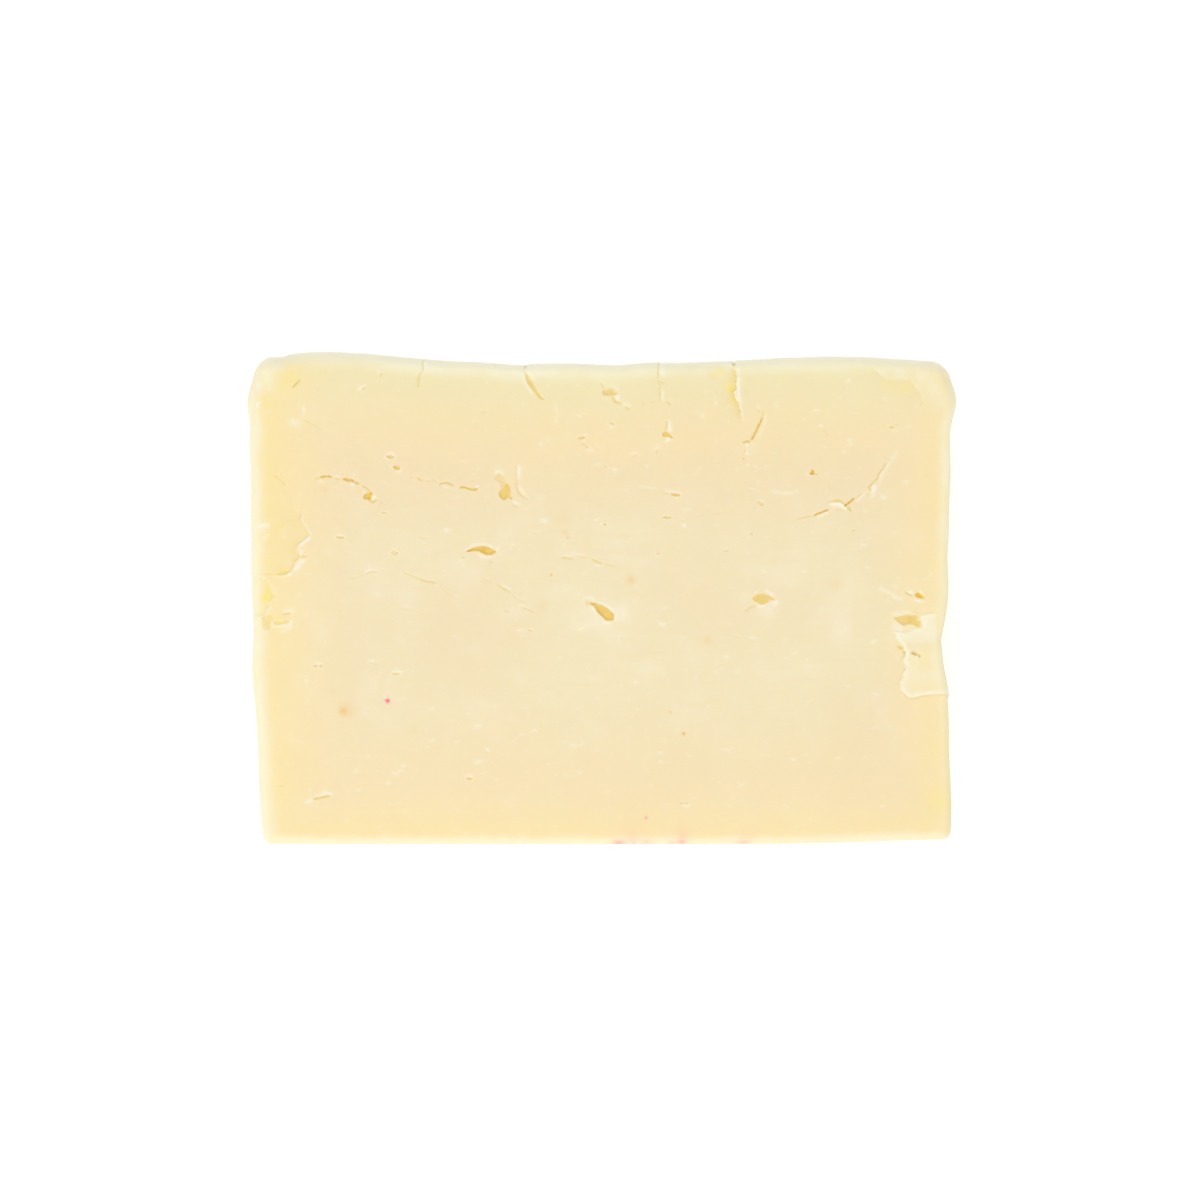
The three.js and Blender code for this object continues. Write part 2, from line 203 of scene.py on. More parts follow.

# Cracks: half width in pixels, depth in mm, how strong the painted shade inside them is, and the points
# they run through.
# Those at the back edge run on over it.
CRACKS = [
    [0.8, 0.25, 0.7, [[314.5, 477.3], [317.8, 478.6], [320, 476.9]]],
    [1.4, 0.6, 1.0, [[319.5, 477], [325, 476.5], [329, 476.6], [332.5, 477.3]]],
    [0.8, 0.25, 0.45, [[333, 478.7], [338, 479], [342, 478.8]]],
    [1.5, 0.7, 1.0, [[342, 479], [348, 479.6], [353, 480.9], [355, 482]]],
    [1.6, 0.6, 0.95, [[354.5, 482], [357, 482.6], [359.5, 483.8]]],
    [1.1, 0.35, 0.6, [[361.5, 485.8], [365.5, 487.2], [368, 489.5], [369.8, 492]]],
    [1.0, 0.35, 0.7, [[369, 500.8], [372.5, 502], [375.5, 500.8], [377.5, 500]]],
    [0.8, 0.2, 0.35, [[378, 500], [381, 501.5], [384, 504.5]]],
    [0.8, 0.25, 0.5, [[409, 476.3], [413, 477.4]]],
    [0.9, 0.3, 0.6, [[416, 477.4], [420, 479.2], [424, 480.8]]],
    [0.7, 0.2, 0.4, [[424.5, 481], [432, 481.4]]],
    [0.7, 0.2, 0.3, [[431.5, 479.6], [438.5, 481.6]]],
    [1.0, 0.4, 0.75, [[439.3, 485.3], [441, 483.4], [446, 482.8], [450, 484], [454.3, 485.6]]],
    [1.3, 0.55, 1.0, [[459.3, 489.3], [461.5, 487], [466, 487.4], [470, 488.8], [474, 489.3]]],
    [1.8, 0.6, 1.0, [[472, 489.2], [478.6, 489.2]]],
    [0.7, 0.2, 0.65, [[470, 481.2], [474, 480.8]]],
    [0.8, 0.15, 0.3, [[516.2, 464], [516, 472], [515.6, 480]]],
    [1.0, 0.25, 0.4, [[515.8, 480], [516.5, 487], [519, 492.5], [523, 496.5], [528.5, 500.5]]],
    [0.9, 0.2, 0.45, [[512, 504.5], [515, 506], [518.5, 508.5]]],
    [1.1, 0.9, 0.15, [[527, 330], [526.3, 352], [525.2, 361.5], [524.3, 367]]],
    [1.0, 0.3, 0.35, [[522, 366.5], [524.5, 371], [526, 373.5]]],
    [1.0, 0.4, 0.3, [[658, 340], [658.3, 361], [658.3, 371], [658.8, 379]]],
    [0.8, 0.25, 0.28, [[658.8, 378], [659.3, 384], [660, 391], [660.2, 403]]],
    [1.0, 0.3, 0.65, [[660, 381.5], [663.8, 383.6]]],
    [0.8, 0.2, 0.45, [[660, 387], [662, 385.5]]],
    [1.0, 0.3, 0.5, [[665, 401.3], [668, 402.6], [671.8, 405.3]]],
    [0.9, 0.15, 0.35, [[650, 401.6], [655, 401.2]]],
    [0.7, 0.1, 0.2, [[643, 401], [643, 407]]],
    [1.8, 1.6, 0.2, [[734.6, 322], [734.2, 345], [733.9, 357], [734, 363.5]]],
    [1.1, 0.4, 0.35, [[734, 363], [733.3, 367], [735.3, 371], [736.8, 375]]],
    [0.9, 0.25, 0.5, [[756.5, 409.2], [758.5, 410.8], [760.5, 410.6]]],
    [0.8, 0.2, 0.35, [[763, 409.5], [763.2, 415], [762.2, 421]]],
    [1.25, 0.5, 1.05, [
        [762.6, 417], [761.3, 420.5], [759.2, 425], [755.8, 431.4], [753.6, 436], [751.3, 441.6],
    ]],
    [1.2, 0.4, 0.9, [[751, 442.3], [747.5, 440.8], [745, 442], [742.8, 440.7]]],
    [1.0, 0.3, 0.8, [[743, 441], [743.8, 443.6]]],
    [0.9, 0.25, 0.65, [[744.8, 450], [744.3, 453]]],
    [1.0, 0.25, 0.75, [[742.8, 457], [743.6, 458.6], [745.5, 459.4]]],
    [0.6, 0.1, 0.35, [[744, 453], [742.8, 457]]],
    [0.8, 0.15, 0.3, [[751, 467], [754, 470]]],
    [0.7, 0.2, 0.35, [[893, 453], [891, 456]]],
    [0.9, 0.25, 0.5, [[889.5, 458.8], [888, 461]]],
    [1.0, 0.35, 0.65, [[886.5, 462.8], [885, 465], [882, 470], [879, 474], [877.5, 478.5], [874, 481.5]]],
    [1.0, 0.35, 0.65, [
        [874.5, 481.3], [872, 483], [870, 486.5], [869.3, 488.5], [870.8, 489.8], [869, 491.8],
    ]],
    [0.8, 0.25, 0.5, [[864, 493.4], [860, 494.5], [858, 496.5], [856, 498.4]]],
    [0.7, 0.2, 0.4, [[869, 494.2], [866, 493.4]]],
    [1.2, 0.6, 1.15, [[855, 497.8], [851, 501], [848.5, 503], [846.2, 505.3]]],
    [0.9, 0.15, 0.35, [[835, 509.4], [840, 509.6], [845, 510.8]]],
    [1.0, 0.5, 1.15, [[829.2, 509.4], [825, 510.6], [821, 512.4], [817, 514.4], [812.8, 516]]],
    [0.8, 0.25, 0.45, [[812.5, 516.3], [808, 516.6], [802, 517.6], [796, 519.5]]],
    [0.9, 0.3, 0.7, [[814.6, 473.2], [818.8, 475.9]]],
    [0.8, 0.2, 0.4, [[401, 571.3], [412, 576], [420, 579.3]]],
    [1.1, 0.3, 0.55, [[419, 579], [427, 581.3], [436.5, 582.8]]],
    [0.7, 0.12, 0.25, [[441, 588], [447, 592.5], [455, 598.5]]],
    [0.8, 0.15, 0.3, [[481, 578], [488, 581], [494, 583.5]]],
    [1.1, 0.25, 0.45, [[496.5, 584.5], [502, 587], [506, 589.8], [510, 592.5]]],
    [0.6, 0.1, 0.2, [[511, 593.5], [519, 600], [526, 601.5]]],
    [0.9, 0.2, 0.3, [[520, 607], [525, 608.3], [530, 610.2], [536, 613]]],
    [1.1, 0.25, 0.4, [[503, 610], [506, 610.8], [509.5, 612]]],
    [1.1, 0.25, 0.5, [[561, 556.8], [566, 557.7], [571, 558.8], [574, 558.7]]],
    [0.8, 0.15, 0.35, [[576, 556.4], [582, 557.2], [587, 557.6], [590.5, 559.2]]],
    [1.1, 0.3, 0.55, [[592, 558.6], [596, 560.8], [600, 562.6], [603.5, 563.2]]],
    [0.8, 0.2, 0.4, [[603.5, 563.2], [608, 564.4], [615.5, 566.6]]],
    [0.9, 0.2, 0.5, [[459.5, 556.4], [462, 557.4], [466, 558.6]]],
    [0.9, 0.2, 0.6, [[488, 562.8], [491, 562.6], [494, 561.8]]],
    [0.9, 0.5, 0.2, [[423, 335], [422.8, 352], [422.6, 362], [423.2, 368], [422, 372.5]]],
    [1.1, 0.35, 0.45, [[422, 371], [419.5, 375], [418.6, 380], [418.4, 388]]],
    [0.8, 0.3, 0.15, [[494.5, 345], [494.7, 358], [495, 366]]],
    [0.8, 0.15, 0.4, [[272.8, 474.7], [281, 480], [286, 486.6]]],
    [0.7, 0.12, 0.35, [[822.5, 427], [826, 432], [829.5, 438.5]]],
    [0.8, 0.12, 0.3, [[303, 419], [309, 422.5], [316, 426], [322, 430.5]]],
    [0.7, 0.15, 0.35, [[662, 492.8], [669, 494.2]]],
    [0.6, 0.1, 0.3, [[695, 517], [706, 515]]],
    [0.6, 0.1, 0.3, [[712, 514], [723, 512.4], [735, 511]]],
    [0.8, 0.15, 0.4, [[357.5, 577], [362, 575.5]]],
    [0.8, 0.15, 0.35, [[366, 574], [371, 571.5], [378, 572]]],
    [0.6, 0.08, 0.2, [[343, 580], [357, 577]]],
    [0.6, 0.08, 0.2, [[396, 607.7], [410, 609.8], [424, 614]]],
    [1.0, 0.3, 0.5, [[667.3, 420], [666.8, 425.5], [665.9, 431]]],
    [0.8, 0.2, 0.5, [[663.5, 440.5], [666, 438.6]]],
    [1.2, 0.2, 0.3, [[599.5, 378.5], [601.5, 383], [604, 388.5]]],
    [1.1, 0.35, 0.6, [[612.8, 395.5], [613.3, 399], [617, 402.3], [621.5, 404.4]]],
    [1.2, 0.35, 0.65, [[625, 407], [629, 408.6], [631.5, 408.2]]],
    [0.8, 0.35, 1.0, [[762.5, 594.6], [767, 595.8], [771, 597.7], [775, 599.8]]],
    [1.0, 0.2, 0.4, [[744.8, 612.3], [749, 608.6], [757, 604.8]]],
    [0.8, 0.15, 0.5, [[912, 610.5], [917, 612.5], [922, 613.3]]],
    [0.7, 0.1, 0.3, [[903, 629], [909, 627.5], [914, 629]]],
    [0.9, 0.35, 0.85, [[904.8, 591.3], [908.5, 593.8], [913.8, 596.3]]],
    [0.9, 0.1, 0.45, [[262, 574], [268, 574.3], [274, 574]]],
    [0.9, 0.2, 0.6, [[299, 556.8], [303, 556.8], [308, 556.2]]],
    [0.9, 0.25, 0.6, [[281, 614.6], [285, 613.8], [289, 613.4], [291, 611.8]]],
    [1.6, 0.3, 1.0, [[896.2, 645.6], [899.5, 646.8], [903, 650.3]]],
    [1.5, 0.3, 0.95, [[902.6, 653.2], [905.6, 651.6]]],
    [1.3, 0.25, 0.85, [[910.3, 652.6], [914, 653.3], [918, 654.8]]],
    [0.7, 0.15, 0.35, [[924.5, 659], [926, 662.5]]],
    [1.1, 0.4, 0.85, [[311, 799.8], [317, 798.4], [324, 797], [330.5, 796.2]]],
    [1.3, 0.3, 0.85, [[291.8, 388], [295, 385], [299, 380.6], [301, 379.2]]],
    [0.9, 0.25, 0.7, [[898, 620], [902, 622.5], [906, 623.8], [911, 622.8]]],
]

# Pale lips and smears that stand a hair proud; on the lips beside cracks and hollows the pale is a painted
# highlight: half width in pixels, strength, and their points
LIP_HIGHLIGHTS_AND_SMEARS = [
    [1.1, 0.45, [[464, 552], [470, 547], [476, 544.6], [484, 544], [490, 545.5]]],
    [1.2, 1.0, [[489, 547.5], [492, 546]]],
    [1.2, 0.5, [[478, 553], [482, 556], [488, 557.5], [494, 556]]],
    [1.0, 0.5, [[459, 559], [464, 561]]],
    [1.2, 0.5, [[598, 601.5], [606, 605], [612, 609.5], [616, 613.5], [616, 621]]],
    [1.0, 0.7, [[602, 620.5], [606, 623], [612, 623.5]]],
    [1.1, 0.6, [[589, 606.5], [593, 609], [597, 614.5]]],
    [1.2, 0.4, [[584, 598], [590, 597.5], [595, 600.5]]],
    [2.6, 0.9, [[772, 603.5], [776, 603], [778, 605.5]]],
    [1.3, 0.8, [[757, 606], [762, 606.8], [768, 605]]],
    [1.0, 0.6, [[764, 590.8], [770, 592.5], [776, 597]]],
    [1.0, 0.4, [[754, 593.5], [758, 591]]],
    [1.4, 0.9, [[373.5, 494], [373.8, 497], [373.2, 499.4]]],
    [1.2, 0.6, [[318, 481.5], [323, 480.5]]],
    [1.2, 0.7, [[350, 483.5], [355, 485.5]]],
    [1.0, 0.4, [[333, 476], [341, 476.2]]],
    [1.2, 0.5, [[386, 453.6], [391, 452.8], [395, 454.5]]],
    [1.0, 0.5, [[401.5, 466], [400, 471.5], [394, 471.2]]],
    [1.0, 0.5, [[474, 486], [480, 486.8]]],
    [1.1, 0.5, [[443, 486.5], [450, 488]]],
    [2.2, 0.6, [[518.6, 464], [518.6, 472], [518, 479]]],
    [1.6, 0.5, [[519.5, 484], [521.5, 490], [526, 495.5]]],
    [1.2, 0.6, [[513, 499.5], [516, 503], [520, 505]]],
    [1.5, 0.5, [[494, 474], [499, 471], [505, 474]]],
    [1.2, 0.5, [[526, 369.5], [528.5, 372.5]]],
    [1.2, 0.35, [[522, 376], [527, 386], [533, 395]]],
    [1.8, 0.6, [[662.3, 352], [662.5, 365], [662.3, 377]]],
    [1.2, 0.5, [[663, 388], [662.8, 402]]],
    [1.8, 0.9, [[669.5, 420], [669.5, 427], [671.5, 431.5]]],
    [1.3, 0.7, [[664, 442], [668, 438.8], [672, 440]]],
    [1.8, 0.9, [[616.5, 400], [618, 397], [620.5, 395]]],
    [1.0, 0.5, [[622, 402], [627, 405.3], [632, 405.5]]],
    [1.0, 0.5, [[609, 385.5], [615, 386.3], [619.5, 391]]],
    [1.6, 0.5, [[738.5, 366], [739, 374]]],
    [1.6, 0.75, [[739, 375], [738.6, 383], [738.8, 390], [739, 396], [741.5, 404]]],
    [1.5, 1.2, [[733.5, 391.9], [737.5, 391]]],
    [1.6, 0.9, [[744.5, 446.5], [748, 445], [750.5, 443.8]]],
    [1.5, 0.5, [[746.5, 450], [747.5, 456]]],
    [1.2, 0.3, [[766, 414], [765, 422], [762, 430], [757, 440]]],
    [1.0, 0.4, [[756, 405.5], [761, 407]]],
    [1.0, 0.5, [[746, 465], [750, 464.5]]],
    [0.9, 0.5, [[753, 466], [757, 466.5]]],
    [2.2, 0.35, [[898, 450], [893, 457.5], [887, 467], [881, 476], [877, 483]]],
    [2.6, 0.75, [[875.5, 484], [873.5, 489], [871.5, 494.5]]],
    [1.3, 0.7, [[871, 495.8], [876, 494.5]]],
    [1.3, 0.5, [[866, 492], [860, 497], [855, 501.5]]],
    [1.6, 0.95, [[829, 504.6], [835, 503.9], [840, 504.4], [844, 506.7], [847, 509.7]]],
    [1.2, 0.8, [[829, 512.3], [823, 514], [817, 517]]],
    [1.4, 0.95, [[907, 590.3], [911, 592.8], [914, 592]]],
    [1.1, 0.8, [[919, 590.6], [923.5, 593.5]]],
    [1.3, 0.6, [[913, 599.3], [919, 601], [925, 600.5]]],
    [1.5, 0.42, [[879, 587], [886, 591], [895, 596.5], [903, 600.5]]],
    [1.2, 0.4, [[892, 586], [899, 587.5]]],
    [1.0, 0.4, [[892, 614.5], [900, 612.8], [912, 612]]],
    [1.0, 0.4, [[893, 623], [899, 627], [906, 628.5], [913, 627.5]]],
    [1.4, 1.0, [[310.8, 537], [304.5, 541.5], [299.3, 546.8]]],
    [1.3, 0.9, [[301.3, 549], [301, 554.5]]],
    [1.6, 0.85, [[306, 559.5], [301.5, 561.5], [297.5, 566.5], [293.3, 571]]],
    [1.2, 0.9, [[292.5, 573], [287, 576.3]]],
    [2.0, 0.7, [[257, 527], [264, 525], [270, 526]]],
    [1.5, 0.5, [[262, 541], [266, 537], [270, 534]]],
    [1.2, 0.4, [[283, 533], [285, 528]]],
    [1.2, 0.6, [[261, 579], [267, 578]]],
    [1.2, 0.3, [[270.5, 583], [274, 589], [277.5, 593.5]]],
    [1.4, 0.35, [[271, 605], [267.5, 612]]],
    [1.2, 0.5, [[283, 611.5], [289, 610.3], [295, 611.5]]],
    [1.2, 1.0, [[272.8, 619.5], [272.3, 628]]],
    [1.5, 0.62, [[274, 626.7], [282, 626.2], [289, 624.6], [293, 620]]],
    [1.5, 0.4, [[279, 632], [287, 629.5], [294, 626]]],
    [0.8, 0.35, [[638, 485.5], [648, 487], [657, 489.5]]],
    [1.0, 0.5, [[664, 491.5], [672, 491.3], [681, 493]]],
    [1.2, 0.4, [[769, 490], [780, 493], [792, 492.5], [800, 489.5]]],
    [0.8, 0.3, [[748, 487], [758, 490]]],
    [1.0, 0.35, [[555.5, 403], [557, 412], [556, 424]]],
    [1.0, 0.6, [[364, 573], [370, 569.5], [378, 571]]],
    [1.0, 0.7, [[818.5, 426.5], [823, 425]]],
    [1.6, 0.45, [[304.3, 404], [303.8, 412], [302.5, 418.5]]],
    [1.3, 1.2, [[255.8, 407], [259.4, 401]]],
    [1.2, 0.7, [[304, 803], [310, 800.8], [318, 796.4], [326, 793.4], [333.5, 794]]],
    [1.2, 0.6, [[322, 791.5], [328, 790.5]]],
    [1.0, 0.7, [[318.3, 664.5], [318.8, 666.5]]],
    [1.0, 0.6, [[313, 663.3], [323, 663.3]]],
    [1.0, 0.6, [[392, 671.6], [398, 670.8], [403, 672.6]]],
    [1.0, 0.6, [[465, 776], [470, 775.6], [473, 777.5]]],
    [1.0, 0.5, [[366, 660.8], [376, 661]]],
    [1.0, 0.6, [[681, 806], [687, 806.3], [691, 804.5]]],
    [1.2, 0.6, [[357.5, 391], [362, 386.5], [367, 384.5]]],
    [1.3, 0.6, [[378.5, 374], [379, 368.5]]],
    [1.0, 0.5, [[391, 549], [396, 548.2]]],
    [1.0, 0.5, [[336, 534.6], [344, 534.4]]],
    [1.0, 0.5, [[656, 555.6], [661, 555.6]]],
    [1.2, 0.6, [[601, 523], [603.5, 526.3]]],
    [1.0, 0.4, [[759, 500.5], [765, 500.8]]],
    [1.2, 0.4, [[893, 432], [899, 430]]],
    [1.3, 0.5, [[425.8, 358], [425.6, 364], [425.3, 371]]],
    [1.0, 0.35, [[560, 555], [568, 555.6], [576, 553.8], [586, 554.8]]],
    [1.0, 0.45, [[594, 564.5], [601, 566]]],
    [1.0, 0.4, [[500, 583.6], [506, 586.4], [512, 590]]],
    [1.0, 0.35, [[518, 604.5], [528, 606.5]]],
]

# Torn edges, on whose left the face lies lower: depth in mm, how far that reaches in mm,
# how strong the painted shade at the foot is, how far that reaches, how strong the painted highlight on the
# lip is, and the points
TEARS = [
    [0.17, 2.6, 0.3, 2.2, 0.35, [
        [272, 575.4], [284, 574.5], [288, 572.5], [291, 570], [294, 566], [296, 562], [299, 558.4],
        [299.6, 555.4], [299, 552], [297, 549], [299, 544.3], [304, 540.3], [309.8, 535.8],
        [309.3, 533.5], [307, 529], [304, 525], [301, 519], [303, 509], [304, 505],
    ]],
    [0.14, 1.5, 0.16, 1.3, 0.16, [
        [246, 617], [262, 616], [266, 611], [269.5, 605], [271, 600], [275.8, 596.3], [273, 593.5],
        [272, 590.2], [269, 587], [268, 582], [263, 577.5], [246, 577],
    ]],
    [0.22, 0.7, 0.9, 0.55, 0.75, [
        [741.8, 422], [741, 415], [740, 408.5], [737.6, 402], [735.2, 396.5], [733.8, 392.8],
        [733.6, 391.4], [736.4, 388], [735.8, 384], [736.8, 379.5], [736.3, 374.5], [734, 369],
        [733.5, 362],
    ]],
    [0.05, 1.2, 0.2, 1.2, 0.25, [
        [923.5, 404], [922, 398], [919, 391], [913.5, 383.5], [906, 380], [900, 378.6], [893, 380],
        [886.5, 378.6], [880.5, 373], [874, 367], [866, 363],
    ]],
]

# The thin pale flake left standing at the right edge, the point behind and right of which
# it has worn away, and the pixel down at which the painted shade at its foot ends
FLAKE = [
    [990, 693.8], [947, 694], [936, 694.9], [928, 695.6], [921, 696.3], [917, 697.4], [911, 698.2],
    [906, 696.6], [902.6, 692.5], [900, 688.5], [899, 684], [900.5, 679], [902.6, 674.5], [904, 670.5],
    [905.8, 667.6], [905, 665], [903, 662], [903, 658.5], [905.3, 655], [904.5, 651.5], [901.5, 647.5],
    [898.5, 643.5], [896.6, 640], [895.6, 636], [893.8, 630.8], [898, 631.4], [903, 632], [908, 631.6],
    [913, 630.4], [917, 628.6], [920.6, 627.6], [921.8, 625.5], [921.8, 621.5], [919.5, 619], [920, 616],
    [922, 615], [930, 613.5], [937, 613.5], [990, 613],
]
FLAKE_SPENT = (936, 643)
FLAKE_FOOT_END = 634

# Pale flecks: pixel across, pixel down, length and width in pixels, turn in degrees
FLECKS = [
    [431, 708.5, 7, 3, 15], [432, 740.6, 6, 3, 15], [427, 746, 4, 2, 0], [488, 749, 6, 3.5, -20],
    [478, 762, 10, 4, 10], [484, 772.7, 6, 2.5, 20], [496, 780, 4, 2.5, 10], [522, 734.5, 6, 2, 12],
    [534, 731, 9, 2.5, 8], [573, 745, 9, 2, 5], [582, 744, 6, 2, 20], [478, 726, 7, 3.5, 0],
    [548, 764, 3.5, 2.5, 0], [580, 773, 4, 3, 10], [399, 771.5, 7, 3.5, 35], [403.6, 766, 6, 3, 20],
    [394, 773, 6, 3, -20], [356, 771.5, 6, 3.5, 0], [357.5, 790, 6, 3, 0], [369, 757, 3.5, 3, 40],
    [388, 783, 5, 2.5, 20], [660, 752.7, 6, 2, 0], [660, 762, 3.5, 2, 0], [726, 750, 8, 2.5, -10],
    [741.5, 785, 15, 2, 28], [838, 758, 7, 3.5, 0], [793, 759, 6, 3, 0], [882.6, 806, 6, 3, 10],
    [765, 571.5, 6, 2.5, 0], [805, 572, 7, 3, -5], [868, 567, 6, 2.5, 0], [863, 545, 6, 3.5, 0],
    [753, 637.6, 8, 3, 0], [874, 641, 6, 3.5, 15], [727, 657, 6, 2.5, 20], [722, 668, 3.5, 3, 0],
    [794.5, 652.7, 6, 2.5, 30], [876, 694, 8, 2.5, -5], [635, 682, 6, 3.5, 0], [306, 681, 3, 4, 0],
    [257.5, 404, 4, 2, 60], [542, 444, 6, 4, 10], [647, 467, 3.5, 3, -40], [716, 403, 5, 4, 60],
    [703, 415, 5, 5, 0], [816, 410, 6, 3, 10], [850, 444, 6, 2.6, 35], [844, 452, 5, 2.5, 30],
    [931, 573.6, 3, 3, 0], [597, 519, 6, 3, 20], [447, 530, 9, 4, -10], [294, 422.5, 12, 8, 0],
    [849, 440, 4, 3, 0], [634, 452.5, 9, 4, 10], [657, 447, 10, 3, 50], [597, 464, 8, 3, 10],
    [614, 469.5, 8, 3, 0], [608, 468, 4, 2, 0], [590, 451, 6, 3, 0], [613, 427.5, 6, 2.5, 0],
    [586, 434.5, 4, 1.6, 20], [825, 447, 4, 3, 0], [580, 416, 3, 2, 0], [715, 397, 3, 3, 0],
    [498, 548, 2.6, 2.6, 0], [510, 548, 3, 3, 0], [308, 574, 4, 2.4, 0], [884, 497, 7, 5, 0],
    [906, 482, 6, 4, 0], [684, 525, 6, 4, -40], [690, 509, 5, 2.5, 0], [520, 630, 8, 2.6, 0],
    [582, 629, 7, 3, 15], [513, 544, 3, 3, 0], [545, 521, 9, 5, 0], [662, 624, 9, 4, 0],
    [848.5, 381, 6, 3.4, 10],
]

# Faint flecks strewn over the face: how many, the seed, and the ranges in mm, with the turn's
# middle and spread in degrees
STREWN = {
    "count": 90, "seed": 11, "across": (-47, 47), "up": (-33, 31),
    "length": (0.35, 0.9), "width": (0.4, 0.8), "turn": (8, 22),
}

# Soft hazes, pale, chalky and sunny yellow: pixel across, pixel down, radius in pixels, strength
HAZES = [
    [621, 612, 9, 0.35], [598, 622, 10, 0.2], [768, 609, 10, 0.3], [745, 598, 8, 0.15],
    [750, 446, 9, 0.15], [727, 364, 5, 0.4], [900, 629, 7, 0.35], [912, 630, 5, 0.35],
]
CHALKY_PATCHES = [
    [262, 370, 12, 1.0], [266, 378, 8, 0.8], [274, 363, 10, 0.8], [255, 385, 9, 0.8],
    [270, 389.5, 4, 0.5], [285, 361, 8, 0.45], [925, 375, 12, 0.5], [900, 369, 9, 0.65],
    [935, 390, 9, 0.5], [916, 366, 9, 0.6], [884, 366, 8, 0.6], [941, 402, 8, 0.35], [700, 363, 16, 0.35],
    [600, 368, 14, 0.3],
]
# The sunny patches strung along the left and the right edge deepen the yellow bands there, which are partly
# painted glow of light through the thin edges.
SUNNY_PATCHES = [
    [266, 597, 5.5, 1.0], [268, 588, 4, 0.7], [271, 594, 3, 0.7], [267, 621, 5, 0.5],
    [279, 621.8, 5, 0.55], [289, 376, 9, 0.45], [283, 386, 7, 0.3], [296, 383, 3, 0.4],
    [268, 402, 8, 0.2], [268, 420, 9, 0.12], [268, 440, 9, 0.15], [267, 460, 9, 0.2],
    [268, 480, 10, 0.18], [268, 505, 10, 0.18], [268, 540, 10, 0.2], [268, 562, 9, 0.25],
    [283, 571.5, 4, 0.8], [280, 526, 5, 0.4], [720, 371, 5, 0.6], [731, 386, 5, 1.0], [735, 400, 4, 0.7],
    [890, 384, 6, 0.25], [905, 387, 7, 0.35], [946, 440, 9, 0.2], [943, 500, 12, 0.15],
    [941, 560, 12, 0.15], [938, 800, 16, 0.3], [936, 750, 14, 0.2],
]

# Soft stains: pixel across, pixel down, radius in pixels, strength
TAN_SPOTS = [
    [343.3, 711, 4.4, 0.85], [346, 710, 8, 0.35], [349, 713.3, 3, 0.3], [631, 580, 4.5, 0.45],
    [707.5, 640.6, 4.5, 0.3], [683.7, 733.7, 1.5, 1.4], [670.4, 712.7, 1.5, 0.6],
    [551.4, 574.8, 1.0, 1.1], [568, 537.7, 1.4, 0.7], [566, 533, 4, 0.3], [837, 586.7, 7, 0.15],
    [560, 525, 11, 0.12], [414, 731, 3, 0.2], [541, 606, 6, 0.15], [565, 519, 6, 0.12],
    [829.5, 486.5, 3, 0.12], [324, 489.5, 3, 0.25], [332, 691, 3, 0.12],
]
ROSE_SPOTS = [[387.5, 700.8, 1.9, 1.5], [646.3, 817.8, 1.4, 0.7]]

# Pink smudges along the front edge: pixel across, width in pixels, strength
ROSE_SMUDGES = [
    [619, 15, 0.5], [634, 5, 0.4], [646, 14, 0.35], [681, 9, 0.7], [674, 14, 0.2], [743, 16, 0.35],
]
ROSE_HAZES = [[631, 30, 0.18], [682, 15, 0.25], [746, 20, 0.1]]
FRONT_LINE = -34.9

# Eyes in the sides and the underside, spread by the same rule as in the solid
HIDDEN_EYE = {"length": 2.2, "width": 0.9, "depth": 0.6, "gold": 0.9, "smallest": 0.6, "range": 0.7}
HIDDEN_EYES = {"per_side": 4, "under": 11, "whole": 16, "margin": 5, "end_margin": 10}
SPREAD_SHARES = [0.618034, 0.754878]
SIZE_SHARE = SPREAD_SHARES[0] * 3
HIDDEN_TURN = 1.9

# How each kind of mark is shaped and coloured: lengths and depths in mm, the rest as shares
EYE = Form(
    depth=0.6, gold=0.85, room=1, ragged=0.07, ragged_share=0.14,
    taper=0.6, waist=0.93, lean=0.1, ends=0.35, gold_fade=0.4, gold_start=0.3,
    lip_width=0.12, lip_depth=0.5, lip_pale=0.5, lip_rise=0.04,
)
HOLLOW = Form(
    room=1, ragged=0.05, wall=0.3, shallow_wall=0.8, gold_fade=0.2, gold_start=0.4,
    core=0.22, core_from=0.08, core_fade=0.3,
)
CRACK = Form(
    depth=0.38, gold=0.8, width=0.78, core=0.25, room=1, ragged=[0.06, 0.35],
    taper=0.45, brim=1.3, gold_fade=0.7, core_brim=1.1, core_fade=0.8,
    halo=0.12, halo_width=0.2,
)
LIP = Form(room=1.2, ragged=[0.09, 0.4], taper=0.5, least=0.05, rise=0.05)
TEAR = Form(
    room=2.5, ragged=[0.12], taper=1.5, step=0.14, lip_gap=0.14, lip_width=0.2,
    lip_rise=0.05, inland_from=1.0, inland_over=1.5,
)
FLAKE_FORM = Form(
    room=1.5, ragged=0.1, spent_along=1.0, spent_up=0.8, edge=0.14, step=0.12,
    thinning=0.75, thin_over=3, thin_start=0.7, margin_gap=0.2, margin_width=0.5,
    margin_pale=0.68, back_over=1.6, back_pale=0.5, green=0.8,
    foot_end=0.4, foot_gap=0.1, foot_width=0.16, foot_gold=0.25,
)
FLECK = Form(
    set_strength=0.44, faint_strength=0.18, room=0.3, ragged=[0.14, 0.4],
    blunt=1.3, rise=0.04,
)
STAIN_ROOM = 3
SMUDGE = Form(
    down=9, up=6, wall_start=2.5, wall_fade=1.2, face_fade=0.3, haze_fade=1.4,
)

